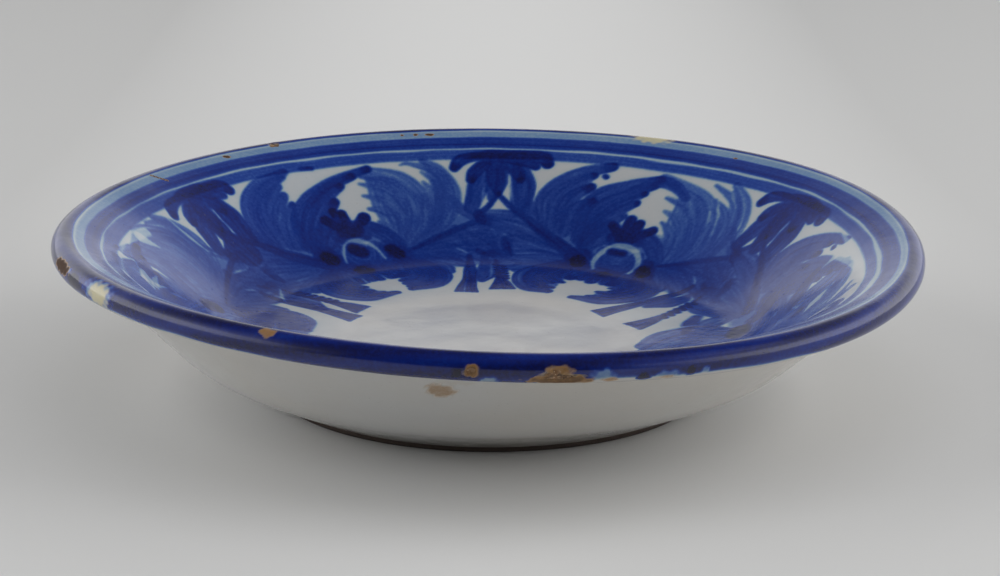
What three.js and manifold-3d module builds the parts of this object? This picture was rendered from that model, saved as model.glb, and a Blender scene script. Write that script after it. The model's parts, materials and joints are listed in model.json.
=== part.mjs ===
// Soup plate of tin-glazed earthenware, wheel-thrown, in millimetres with +Z up.
// It stands on z = 0 with its turning axis on Z, and the angle 0 is along +X.
import * as THREE from 'three';
import { mergeVertices, toCreasedNormals } from 'three/addons/utils/BufferGeometryUtils.js';
import Module from 'manifold-3d';

// Overall size of the finished plate, over the glaze
const RIM_RADIUS = 110;
const PLATE_HEIGHT = 40.9;

// Glaze coat
const GLAZE_THICKNESS = 0.5;

// Rolled lip and the everted flange behind it
const LIP_RADIUS = 3.4;
const FLANGE_WIDTH = 14;
const FLANGE_SLOPE = 20;
const FLANGE_FILLET = 40;
const UNDERSIDE_WIDTH = 10.5;
const UNDERSIDE_SLOPE = 11;
const UNDERSIDE_FILLET = 8;

// Well, whose floor lies flat in the middle and rises a little to the foot of the wall
const WELL_RADIUS = 67;
const WELL_FILLET = 22;
const FLOOR_FLAT_RADIUS = 32;
const FLOOR_SLOPE = 4.5;
const FLOOR_FILLET = 60;
const FLOOR_THICKNESS = 7.5;

// Belly, where the outside turns from the wall in towards the foot
const BELLY_OUTSET = 10;
const BELLY_THICKNESS = 8.4;
const BELLY_FILLET = 30;

// Turned foot ring with a shallow recess inside it
const FOOT_RADIUS = 56.1;
const FOOT_HEIGHT = 2;
const FOOT_WIDTH = 7;
const FOOT_BEVEL = 0.8;
const RECESS_DEPTH = 3.5;
const RECESS_DRAFT = 1.2;
const RECESS_FILLET = 1.6;
const WIPED_HEIGHT = 1;

// Waver of the rim from drying and firing: rises round the rim, with the angle of one crest
const RIM_WAVER = [
  { rises: 1, height: 1.06, crest: 190.4 },
  { rises: 2, height: 1.28, crest: 50.1 },
  { rises: 3, height: 0.36, crest: 11.4 },
  { rises: 4, height: 0.17, crest: 26.7 },
];

// Knocks on the lip that broke through the glaze into the clay.
// around is the place on the lip's round section: 90 is its crest and 0 its outermost edge.
const LIP_CHIPS = [
  { angle: 278.8, around: 24, length: 17, width: 3.6, depth: 1.1, twist: 4 },
  { angle: 287.2, around: -14, length: 19, width: 2.4, depth: 0.8, twist: -7 },
  { angle: 211.8, around: 50, length: 5.4, width: 3.4, depth: 0.9, twist: 14 },
  { angle: 64.4, around: 118, length: 8.5, width: 2.6, depth: 0.8, twist: 5 },
  { angle: 124.7, around: 108, length: 4.2, width: 2.2, depth: 0.8, twist: -9 },
];
const CHIP_SWELL = 2.6;

// Facets: sides round the axis, and steps along each rounding of the section
const SIDES = 60;
const STEPS = {
  floor: 1,
  well: 4,
  flange: 3,
  lipOver: 5,
  lipBelow: 3,
  underside: 2,
  belly: 3,
  recess: 2,
};
const CHIP_ROUNDNESS = 1;
const CREASE_ANGLE = 35;
const MERGE_DISTANCE = 1e-4;
const FILLET_SHARE = 0.45;

// Finishes
const CLAY = { color: 0xb07a48, roughness: 0.9, metalness: 0 };
const TIN_GLAZE = { color: 0xd3d6de, roughness: 0.18, metalness: 0 };

const wasm = await Module();
wasm.setup();

/**
 * A point of a section with its radius and height.
 * @param {number} radius distance from the axis
 * @param {number} height height over the table
 * @returns {THREE.Vector2} the point
 */
function at(radius, height) {
  return new THREE.Vector2(radius, height);
}

/**
 * A unit direction in the section.
 * @param {number} degrees angle from outward (0) towards up (90)
 * @returns {THREE.Vector2} the direction
 */
function heading(degrees) {
  const angle = THREE.MathUtils.degToRad(degrees);
  return new THREE.Vector2(Math.cos(angle), Math.sin(angle));
}

/**
 * Height gained along a slope.
 * @param {number} run horizontal length
 * @param {number} degrees slope
 * @returns {number} rise
 */
function riseOver(run, degrees) {
  return run * Math.tan(THREE.MathUtils.degToRad(degrees));
}

/**
 * An arc of a section, each point with the surface's direction there.
 * @param {THREE.Vector2} centre centre of the arc
 * @param {number} radius radius of the arc
 * @param {number} start first angle in degrees
 * @param {number} sweep angle swept in degrees, clockwise where negative
 * @param {number} steps number of chords
 * @param {number} side 1 where the surface faces away from the centre, -1 where it faces it
 * @returns {{point: THREE.Vector2, normal: THREE.Vector2}[]} the stations
 */
function arcStations(centre, radius, start, sweep, steps, side) {
  return Array.from({ length: steps + 1 }, (_, step) => {
    const spoke = heading(start + (sweep * step) / steps);
    const point = centre.clone().addScaledVector(spoke, radius);
    return { point, normal: spoke.multiplyScalar(side) };
  });
}

/**
 * A fillet in the corner between two straight runs, no longer than its walls allow.
 * @param {THREE.Vector2} before end of the run before the corner
 * @param {THREE.Vector2} corner the sharp corner
 * @param {THREE.Vector2} after end of the run after it
 * @param {number} radius wished radius
 * @param {number} steps number of chords
 * @returns {{point: THREE.Vector2, normal: THREE.Vector2}[]} stations, facing left of the way along
 */
function filletStations(before, corner, after, radius, steps) {
  const back = before.clone().sub(corner);
  const ahead = after.clone().sub(corner);
  const room = FILLET_SHARE * Math.min(back.length(), ahead.length());
  back.normalize();
  ahead.normalize();
  const halfAngle = Math.acos(THREE.MathUtils.clamp(back.dot(ahead), -1, 1)) / 2;
  const setback = Math.min(radius / Math.tan(halfAngle), room);
  const fitted = setback * Math.tan(halfAngle);
  const inward = back.clone().add(ahead).normalize();
  const centre = corner.clone().addScaledVector(inward, fitted / Math.sin(halfAngle));
  const first = corner.clone().addScaledVector(back, setback).sub(centre);
  const turnsLeft = ahead.cross(back) > 0 ? 1 : -1;
  const sweep = turnsLeft * (180 - THREE.MathUtils.radToDeg(2 * halfAngle));
  const start = THREE.MathUtils.radToDeg(first.angle());
  return arcStations(centre, fitted, start, sweep, steps, -turnsLeft);
}

/**
 * The biscuit's surface from the middle of the well over the lip and down to the foot.
 * @returns {{point: THREE.Vector2, normal: THREE.Vector2}[]} stations facing out of the clay
 */
function biscuitFace() {
  const floorHeight = RECESS_DEPTH + FLOOR_THICKNESS - GLAZE_THICKNESS;
  const middle = at(0, floorHeight);
  const floorBend = at(FLOOR_FLAT_RADIUS, floorHeight);
  const floorRise = riseOver(WELL_RADIUS - FLOOR_FLAT_RADIUS, FLOOR_SLOPE);
  const wellBend = at(WELL_RADIUS, floorHeight + floorRise);

  const lipCentre = at(RIM_RADIUS - LIP_RADIUS, PLATE_HEIGHT - LIP_RADIUS);
  const lipStart = 90 + FLANGE_SLOPE;
  const lipEnd = UNDERSIDE_SLOPE - 90;
  const lipRound = LIP_RADIUS - GLAZE_THICKNESS;
  const lipOver = arcStations(lipCentre, lipRound, lipStart, -lipStart, STEPS.lipOver, 1);
  const lipBelow = arcStations(lipCentre, lipRound, 0, lipEnd, STEPS.lipBelow, 1);
  const lipTop = lipOver[0].point;
  const lipUnder = lipBelow[lipBelow.length - 1].point;

  const flangeRadius = RIM_RADIUS - FLANGE_WIDTH;
  const flangeDrop = riseOver(lipTop.x - flangeRadius, FLANGE_SLOPE);
  const flangeBend = at(flangeRadius, lipTop.y - flangeDrop);
  const undersideRadius = RIM_RADIUS - UNDERSIDE_WIDTH;
  const undersideDrop = riseOver(lipUnder.x - undersideRadius, UNDERSIDE_SLOPE);
  const undersideBend = at(undersideRadius, lipUnder.y - undersideDrop);

  const wall = flangeBend.clone().sub(wellBend).normalize();
  const outward = new THREE.Vector2(wall.y, -wall.x);
  const opposite = wellBend.clone().addScaledVector(outward, BELLY_THICKNESS - 2 * GLAZE_THICKNESS);
  const bellyRadius = WELL_RADIUS + BELLY_OUTSET;
  const bellyRise = ((bellyRadius - opposite.x) * wall.y) / wall.x;
  const bellyBend = at(bellyRadius, opposite.y + bellyRise);
  const footTop = at(FOOT_RADIUS, FOOT_HEIGHT);

  const belly = filletStations(
    undersideBend, bellyBend, footTop, BELLY_FILLET - GLAZE_THICKNESS, STEPS.belly);
  return [
    { point: middle, normal: heading(90) },
    ...filletStations(middle, floorBend, wellBend, FLOOR_FILLET + GLAZE_THICKNESS, STEPS.floor),
    ...filletStations(floorBend, wellBend, flangeBend, WELL_FILLET + GLAZE_THICKNESS, STEPS.well),
    ...filletStations(wellBend, flangeBend, lipTop, FLANGE_FILLET - GLAZE_THICKNESS, STEPS.flange),
    ...lipOver,
    ...lipBelow.slice(1),
    ...filletStations(
      lipUnder, undersideBend, bellyBend, UNDERSIDE_FILLET + GLAZE_THICKNESS, STEPS.underside),
    ...belly,
    { point: footTop, normal: belly[belly.length - 1].normal },
  ];
}

/**
 * The biscuit's surface inside the foot, from the middle of the recess to the wiped edge.
 * @returns {{point: THREE.Vector2, normal: THREE.Vector2}[]} stations facing down, out of the clay
 */
function recessFace() {
  const depth = RECESS_DEPTH + GLAZE_THICKNESS;
  const bearingInner = at(FOOT_RADIUS - FOOT_WIDTH, 0);
  const corner = at(bearingInner.x - RECESS_DRAFT, depth);
  const middle = at(0, depth);
  const share = WIPED_HEIGHT / depth;
  const wiped = bearingInner.clone().lerp(corner, share);
  const fillet = filletStations(wiped, corner, middle, RECESS_FILLET, STEPS.recess).reverse();
  return [
    { point: middle, normal: heading(-90) },
    ...fillet,
    { point: wiped, normal: fillet[fillet.length - 1].normal },
  ];
}

/**
 * Turns a section about the axis and lets the rim waver.
 * @param {THREE.Vector2[]} section closed section, or one that starts and ends on the axis
 * @returns {THREE.BufferGeometry} closed geometry with its faces outward
 */
function turned(section) {
  const lathe = new THREE.LatheGeometry(section, SIDES);
  lathe.deleteAttribute('normal');
  lathe.deleteAttribute('uv');
  const place = lathe.getAttribute('position');
  for (let index = 0; index < place.count; index += 1) {
    const x = place.getX(index);
    const y = -place.getZ(index);
    const z = place.getY(index);
    place.setXYZ(index, x, y, z + waver(x, y));
  }
  const merged = mergeVertices(lathe, MERGE_DISTANCE);
  const corners = Array.from(merged.getIndex().array);
  const kept = [];
  for (let first = 0; first < corners.length; first += 3) {
    const [a, b, c] = corners.slice(first, first + 3);
    if (a !== b && b !== c && c !== a) {
      kept.push(a, b, c);
    }
  }
  merged.setIndex(kept);
  return enclosedVolume(merged) < 0 ? flipped(merged) : merged;
}

/**
 * Lift of the surface where the rim wavers, growing from the foot of the wall to the edge.
 * @param {number} x place along X
 * @param {number} y place along Y
 * @returns {number} lift
 */
function waver(x, y) {
  const share = THREE.MathUtils.smoothstep(Math.hypot(x, y), WELL_RADIUS, RIM_RADIUS);
  const angle = Math.atan2(y, x);
  const lift = RIM_WAVER.reduce((sum, { rises, height, crest }) => {
    const phase = rises * (angle - THREE.MathUtils.degToRad(crest));
    return sum + height * Math.cos(phase);
  }, 0);
  return share * lift;
}

/**
 * Signed volume inside a geometry, negative where its faces point inward.
 * @param {THREE.BufferGeometry} geometry indexed closed geometry
 * @returns {number} volume
 */
function enclosedVolume(geometry) {
  const place = geometry.getAttribute('position');
  const index = geometry.getIndex();
  const [a, b, c] = [new THREE.Vector3(), new THREE.Vector3(), new THREE.Vector3()];
  let sum = 0;
  for (let first = 0; first < index.count; first += 3) {
    a.fromBufferAttribute(place, index.getX(first));
    b.fromBufferAttribute(place, index.getX(first + 1));
    c.fromBufferAttribute(place, index.getX(first + 2));
    sum += a.dot(b.cross(c)) / 6;
  }
  return sum;
}

/**
 * The same geometry with its faces turned over.
 * @param {THREE.BufferGeometry} geometry indexed geometry
 * @returns {THREE.BufferGeometry} the geometry
 */
function flipped(geometry) {
  geometry.setIndex(Array.from(geometry.getIndex().array).reverse());
  return geometry;
}

/**
 * A solid for cutting and joining.
 * @param {THREE.BufferGeometry} geometry indexed closed geometry with positions alone
 * @returns {object} the solid
 */
function solidOf(geometry) {
  const vertProperties = Float32Array.from(geometry.getAttribute('position').array);
  const triVerts = Uint32Array.from(geometry.getIndex().array);
  return new wasm.Manifold(new wasm.Mesh({ numProp: 3, vertProperties, triVerts }));
}

/**
 * A named mesh of a solid.
 * @param {object} solid the solid
 * @param {string} name name of the piece
 * @param {object} finish material values
 * @returns {THREE.Mesh} the mesh
 */
function pieceOf(solid, name, finish) {
  const { vertProperties, triVerts } = solid.getMesh();
  const geometry = new THREE.BufferGeometry();
  geometry.setAttribute('position', new THREE.BufferAttribute(vertProperties, 3));
  geometry.setIndex(Array.from(triVerts));
  const creased = toCreasedNormals(geometry, THREE.MathUtils.degToRad(CREASE_ANGLE));
  const mesh = new THREE.Mesh(creased, new THREE.MeshStandardMaterial(finish));
  mesh.name = name;
  return mesh;
}

/**
 * The scoop that one knock takes out of the lip.
 * @param {object} chip place and size of the knock
 * @returns {object} solid of the scoop
 */
function chipScoop({ angle, around, length, width, depth, twist }) {
  const spoke = heading(around);
  const reach = CHIP_SWELL * depth;
  const offset = LIP_RADIUS + reach - depth;
  const radius = RIM_RADIUS - LIP_RADIUS + offset * spoke.x;
  const height = PLATE_HEIGHT - LIP_RADIUS + offset * spoke.y;
  const round = THREE.MathUtils.degToRad(angle);
  const stone = new THREE.IcosahedronGeometry(1, CHIP_ROUNDNESS);
  stone.deleteAttribute('normal');
  stone.deleteAttribute('uv');
  stone.scale(reach, length / 2, width);
  stone.rotateX(THREE.MathUtils.degToRad(twist));
  stone.rotateY(-THREE.MathUtils.degToRad(around));
  stone.rotateZ(round);
  const x = radius * Math.cos(round);
  const y = radius * Math.sin(round);
  stone.translate(x, y, height + waver(x, y));
  return solidOf(mergeVertices(stone, MERGE_DISTANCE));
}

/**
 * The coat's outer stations, square to the clay at the glaze's thickness.
 * @param {{point: THREE.Vector2, normal: THREE.Vector2}[]} face stations of the clay
 * @returns {THREE.Vector2[]} points of the glazed surface
 */
function coated(face) {
  return face.map(({ point, normal }) => point.clone().addScaledVector(normal, GLAZE_THICKNESS));
}

/**
 * Closed section of a coat that lies on the clay from the axis to its wiped edge.
 * Its first half runs the same way as the clay's own section, so both turn into the same facets.
 * @param {{point: THREE.Vector2, normal: THREE.Vector2}[]} face stations of the clay
 * @returns {THREE.Vector2[]} section from the axis out along the clay and back over the coat
 */
function coatSection(face) {
  return [...face.map(({ point }) => point), ...coated(face).reverse()];
}

/**
 * Section of the biscuit: glazed face, bare foot ring and recess.
 * @param {{point: THREE.Vector2}[]} face stations from the well to the foot
 * @param {{point: THREE.Vector2}[]} recess stations inside the foot
 * @returns {THREE.Vector2[]} section from the axis above to the axis below
 */
function biscuitSection(face, recess) {
  return [
    ...face.map(({ point }) => point),
    at(FOOT_RADIUS, Math.min(FOOT_BEVEL, FOOT_HEIGHT / 2)),
    at(FOOT_RADIUS - FOOT_BEVEL, 0),
    at(FOOT_RADIUS - FOOT_WIDTH, 0),
    ...recess.map(({ point }) => point).reverse(),
  ];
}

const face = biscuitFace();
const recess = recessFace();
const scoops = LIP_CHIPS.map(chipScoop).reduce((all, scoop) => all.add(scoop));

const clayBody = solidOf(turned(biscuitSection(face, recess))).subtract(scoops);
const tinGlaze = solidOf(turned(coatSection(face))).subtract(scoops);
const baseGlaze = solidOf(turned(coatSection(recess)));

const plate = new THREE.Group();
plate.add(pieceOf(clayBody, 'clay_body', CLAY));
plate.add(pieceOf(tinGlaze, 'tin_glaze', TIN_GLAZE));
plate.add(pieceOf(baseGlaze, 'base_glaze', TIN_GLAZE));

export default plate;
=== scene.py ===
"""A tin-glazed soup plate with a cobalt leaf frieze, dressed and lit for the photograph's view."""
import json
import logging
import math
from dataclasses import dataclass
from dataclasses import field
from enum import Enum

import bmesh
import bpy
import numpy as np
from mathutils import Euler
from mathutils import Matrix
from mathutils import Vector
from mathutils import noise

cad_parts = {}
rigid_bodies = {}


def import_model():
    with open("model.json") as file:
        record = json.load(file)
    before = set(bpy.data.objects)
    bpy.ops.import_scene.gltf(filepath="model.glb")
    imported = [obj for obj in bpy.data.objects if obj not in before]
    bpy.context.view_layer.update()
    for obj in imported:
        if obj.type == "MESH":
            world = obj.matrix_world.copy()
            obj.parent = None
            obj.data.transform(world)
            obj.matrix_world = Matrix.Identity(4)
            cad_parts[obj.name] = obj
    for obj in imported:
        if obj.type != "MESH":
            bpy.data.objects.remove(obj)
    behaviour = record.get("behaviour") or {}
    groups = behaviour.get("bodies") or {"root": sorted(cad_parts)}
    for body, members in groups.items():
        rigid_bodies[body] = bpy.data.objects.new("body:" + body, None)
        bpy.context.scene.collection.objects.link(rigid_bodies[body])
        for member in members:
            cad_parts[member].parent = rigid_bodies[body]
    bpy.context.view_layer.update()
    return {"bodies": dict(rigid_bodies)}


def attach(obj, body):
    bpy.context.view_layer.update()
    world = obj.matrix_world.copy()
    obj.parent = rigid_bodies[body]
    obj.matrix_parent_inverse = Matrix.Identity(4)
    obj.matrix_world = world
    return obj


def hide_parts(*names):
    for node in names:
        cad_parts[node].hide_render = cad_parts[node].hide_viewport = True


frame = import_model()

LOG = logging.getLogger("soup_plate")
MM = 0.001
FULL_TURN = 2 * math.pi
DEGREE = math.pi / 180
PHOTO_WIDTH = 1000
DOUBLINGS = 5
SEAM_GAP = 1e-6
# How far a stroke's edge runs in the melting glaze, in millimetres
MELTED = 1.5
# Radius in millimetres below which a step round the plate is measured as if it were there
LEAST_RADIUS = 20.0
# Numbers stored on the glaze's vertices: cobalt, rust, bared glaze and the break's depth
LAYERS = ("ink", "rust", "bare", "broken")

# The numbers of a stroke's path or of its widths
Run = tuple[float, ...]
# A stroke's path, its widths and its tip
Row = tuple[Run, Run] | tuple[Run, Run, float]
Colour = tuple[float, float, float]
# A range's low and high end, and what they are mapped to
Reach = tuple[float, float, float, float]
# Waves round the plate: height, count and start in radians
Waves = tuple[tuple[float, float, float], ...]
Socket = bpy.types.NodeSocket


def smooth(value: np.ndarray) -> np.ndarray:
    """Ease a ramp that runs from 0 to 1, and hold it at its ends."""
    held = np.clip(value, 0, 1)
    return held * held * (3 - 2 * held)


def unit(vector: np.ndarray) -> np.ndarray:
    """A vector's direction at length 1."""
    return vector / np.hypot(*vector)


def spokes(angles: np.ndarray) -> np.ndarray:
    """Unit vectors at angles in radians."""
    return np.stack([np.cos(angles), np.sin(angles)], axis=-1)


def ripple(turn: np.ndarray, waves: Waves) -> np.ndarray:
    """Sum of waves round the plate."""
    return sum(height * np.sin(count * turn + start) for height, count, start in waves)


@dataclass(frozen=True)
class FaceRun:
    """The clay's outline from the middle of the well over the lip to the foot, in millimetres.

    An inset is the distance along the glazed face from the rim's crest, and grows towards the well.
    """

    clay: np.ndarray
    normal: np.ndarray
    inset: np.ndarray

    def offset(self, inset: np.ndarray, depth: float) -> np.ndarray:
        """Find points that stand a given height off the clay.

        Args:
            inset: Insets of the points.
            depth: Height above the clay.

        Returns:
            An array of radius and height pairs.
        """
        order = np.argsort(self.inset)
        where = self.inset[order]
        columns = []
        for axis in range(2):
            clay = np.interp(inset, where, self.clay[order, axis])
            normal = np.interp(inset, where, self.normal[order, axis])
            columns.append(clay + depth * normal)
        return np.stack(columns, axis=-1)


@dataclass(frozen=True)
class Section:
    """The turned section's sizes in millimetres and degrees, the same as the solids'."""

    rim_radius: float = 110.0
    plate_height: float = 40.9
    glaze: float = 0.5
    lip_radius: float = 3.4
    flange_width: float = 14.0
    flange_slope: float = 20.0
    flange_fillet: float = 40.0
    underside_width: float = 10.5
    underside_slope: float = 11.0
    underside_fillet: float = 8.0
    well_radius: float = 67.0
    well_fillet: float = 22.0
    floor_flat_radius: float = 32.0
    floor_slope: float = 4.5
    floor_fillet: float = 60.0
    floor_thickness: float = 7.5
    belly_outset: float = 10.0
    belly_thickness: float = 8.4
    belly_fillet: float = 30.0
    foot_radius: float = 56.1
    foot_height: float = 2.0
    foot_width: float = 7.0
    foot_bevel: float = 0.8
    recess_depth: float = 3.5
    recess_draft: float = 1.2
    recess_fillet: float = 1.6
    wiped_height: float = 1.0
    crest_radius: float = 106.0
    fillet_share: float = 0.45
    arc_step: float = 0.35
    least_steps: int = 4

    def fillet(self, corners: list[np.ndarray], radius: float) -> tuple[np.ndarray, np.ndarray]:
        """Round one corner of the outline.

        Args:
            corners: The corner between its two neighbours.
            radius: The fillet's radius.

        Returns:
            The arc's points, and their normals on the left of the way.
        """
        before, corner, after = corners
        back = before - corner
        ahead = after - corner
        room = self.fillet_share * min(np.hypot(*back), np.hypot(*ahead))
        back = unit(back)
        ahead = unit(ahead)
        half = math.acos(float(np.clip(back @ ahead, -1, 1))) / 2
        setback = min(radius / math.tan(half), room)
        fitted = setback * math.tan(half)
        centre = corner + unit(back + ahead) * fitted / math.sin(half)
        first = corner + back * setback - centre
        last = corner + ahead * setback - centre
        start = math.atan2(first[1], first[0])
        sweep = (math.atan2(last[1], last[0]) - start + math.pi) % FULL_TURN - math.pi
        steps = max(self.least_steps, int(abs(sweep) * fitted / self.arc_step))
        angles = start + sweep * np.linspace(0, 1, steps + 1)
        side = 1 if sweep < 0 else -1
        return centre + fitted * spokes(angles), side * spokes(angles)

    def rise(self, run: float, slope: float) -> float:
        """Height gained over a level run on a slope in degrees."""
        return run * math.tan(math.radians(slope))

    def lip_centre(self) -> np.ndarray:
        """Centre of the lip's round."""
        return np.array([self.rim_radius - self.lip_radius, self.plate_height - self.lip_radius])

    def face_run(self) -> FaceRun:
        """Lay out the clay's face from the middle of the well to the top of the foot.

        Returns:
            The face with its normals and insets.
        """
        level = self.recess_depth + self.floor_thickness - self.glaze
        middle = np.array([0.0, level])
        floor_bend = np.array([self.floor_flat_radius, level])
        floor_run = self.well_radius - self.floor_flat_radius
        well_bend = np.array([self.well_radius, level + self.rise(floor_run, self.floor_slope)])
        centre = self.lip_centre()
        lip_round = self.lip_radius - self.glaze
        lip_start = math.radians(90 + self.flange_slope)
        lip_end = math.radians(self.underside_slope - 90)
        steps = int((lip_start - lip_end) * lip_round / self.arc_step)
        angles = np.linspace(lip_start, lip_end, steps + 1)
        lip = centre + lip_round * spokes(angles)
        flange_radius = self.rim_radius - self.flange_width
        flange_drop = self.rise(lip[0][0] - flange_radius, self.flange_slope)
        flange_bend = np.array([flange_radius, lip[0][1] - flange_drop])
        under_radius = self.rim_radius - self.underside_width
        under_drop = self.rise(lip[-1][0] - under_radius, self.underside_slope)
        under_bend = np.array([under_radius, lip[-1][1] - under_drop])
        wall = unit(flange_bend - well_bend)
        through = self.belly_thickness - 2 * self.glaze
        opposite = well_bend + np.array([wall[1], -wall[0]]) * through
        belly_radius = self.well_radius + self.belly_outset
        belly_rise = (belly_radius - opposite[0]) * wall[1] / wall[0]
        belly_bend = np.array([belly_radius, opposite[1] + belly_rise])
        foot_top = np.array([self.foot_radius, self.foot_height])
        hollow = self.glaze
        parts = [
            (middle[None], np.array([[0.0, 1.0]])),
            self.fillet([middle, floor_bend, well_bend], self.floor_fillet + hollow),
            self.fillet([floor_bend, well_bend, flange_bend], self.well_fillet + hollow),
            self.fillet([well_bend, flange_bend, lip[0]], self.flange_fillet - hollow),
            (lip, spokes(angles)),
            self.fillet([lip[-1], under_bend, belly_bend], self.underside_fillet + hollow),
            self.fillet([under_bend, belly_bend, foot_top], self.belly_fillet - hollow),
        ]
        parts.append((foot_top[None], parts[-1][1][-1:]))
        clay = np.concatenate([part[0] for part in parts])
        normal = np.concatenate([part[1] for part in parts])
        glazed = clay + self.glaze * normal
        along = np.concatenate([[0.0], np.cumsum(np.hypot(*np.diff(glazed, axis=0).T))])
        inner = glazed[: int(np.argmax(glazed[:, 0]))]
        crest = np.interp(self.crest_radius, inner[:, 0], along[: len(inner)])
        return FaceRun(clay, normal, crest - along)

    def recess_face(self) -> np.ndarray:
        """Clay outline under the plate, from the middle to the wiped edge inside the foot."""
        depth = self.recess_depth + self.glaze
        inner = self.foot_radius - self.foot_width
        corner = np.array([inner - self.recess_draft, depth])
        share = self.wiped_height / depth
        wiped = np.array([inner, 0.0]) * (1 - share) + corner * share
        middle = np.array([0.0, depth])
        arc, _ = self.fillet([wiped, corner, middle], self.recess_fillet)
        return np.concatenate([middle[None], arc[::-1], wiped[None]])

    def recess_normals(self, face: np.ndarray) -> np.ndarray:
        """Unit normals of the recess, which look down and towards the axis."""
        way = np.gradient(face, axis=0)
        way = way / np.hypot(way[:, 0], way[:, 1])[:, None]
        normal = np.stack([way[:, 1], -way[:, 0]], axis=-1)
        normal[0] = (0.0, -1.0)
        return normal


@dataclass(frozen=True)
class RimWaver:
    """How the rim of the thrown plate rises and falls as it goes round."""

    waves: tuple[tuple[int, float, float], ...] = (
        (1, 1.06, 190.4),
        (2, 1.28, 50.1),
        (3, 0.36, 11.4),
        (4, 0.17, 26.7),
    )
    still_radius: float = 67.0
    rim_radius: float = 110.0

    def lift(self, radius: np.ndarray, angle: np.ndarray) -> np.ndarray:
        """Height that the waver adds, in millimetres.

        Args:
            radius: Distances from the axis in millimetres.
            angle: Angles round the axis in radians.

        Returns:
            The lift at each place.
        """
        share = smooth((radius - self.still_radius) / (self.rim_radius - self.still_radius))
        lifted = np.zeros_like(share)
        for rises, height, crest in self.waves:
            lifted = lifted + height * np.cos(rises * (angle - math.radians(crest)))
        return share * lifted


class Cap(Enum):
    """How a brush stroke ends."""

    ROUND = "round"
    FLAT = "flat"


@dataclass(frozen=True)
class Stroke:
    """One stroke of the brush.

    The path is a run of turns and insets, in degrees to the right and in millimetres. The widths are
    half widths in millimetres along it, and the tip is the pigment that gathers at its end.
    """

    path: Run
    widths: Run
    tip: float = 0.0
    load: float = 1.0
    streak: float = 0.22
    soft: float = 0.35
    wipes: bool = False
    cap: Cap = Cap.ROUND


@dataclass(frozen=True)
class Layer:
    """Strokes laid one after another with the same load of pigment.

    Each row has a stroke's path, its widths and, where pigment gathers at its end, the tip. A layer
    that wipes lifts that share of the pigment off again.
    """

    load: float
    rows: tuple[Row, ...]
    streak: float = 0.22
    soft: float = 0.35
    wipes: bool = False

    def strokes(self) -> list[Stroke]:
        """The layer's strokes in their order."""
        brush = {"load": self.load, "streak": self.streak, "soft": self.soft, "wipes": self.wipes}
        return [Stroke(*row, **brush) for row in self.rows]


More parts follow.
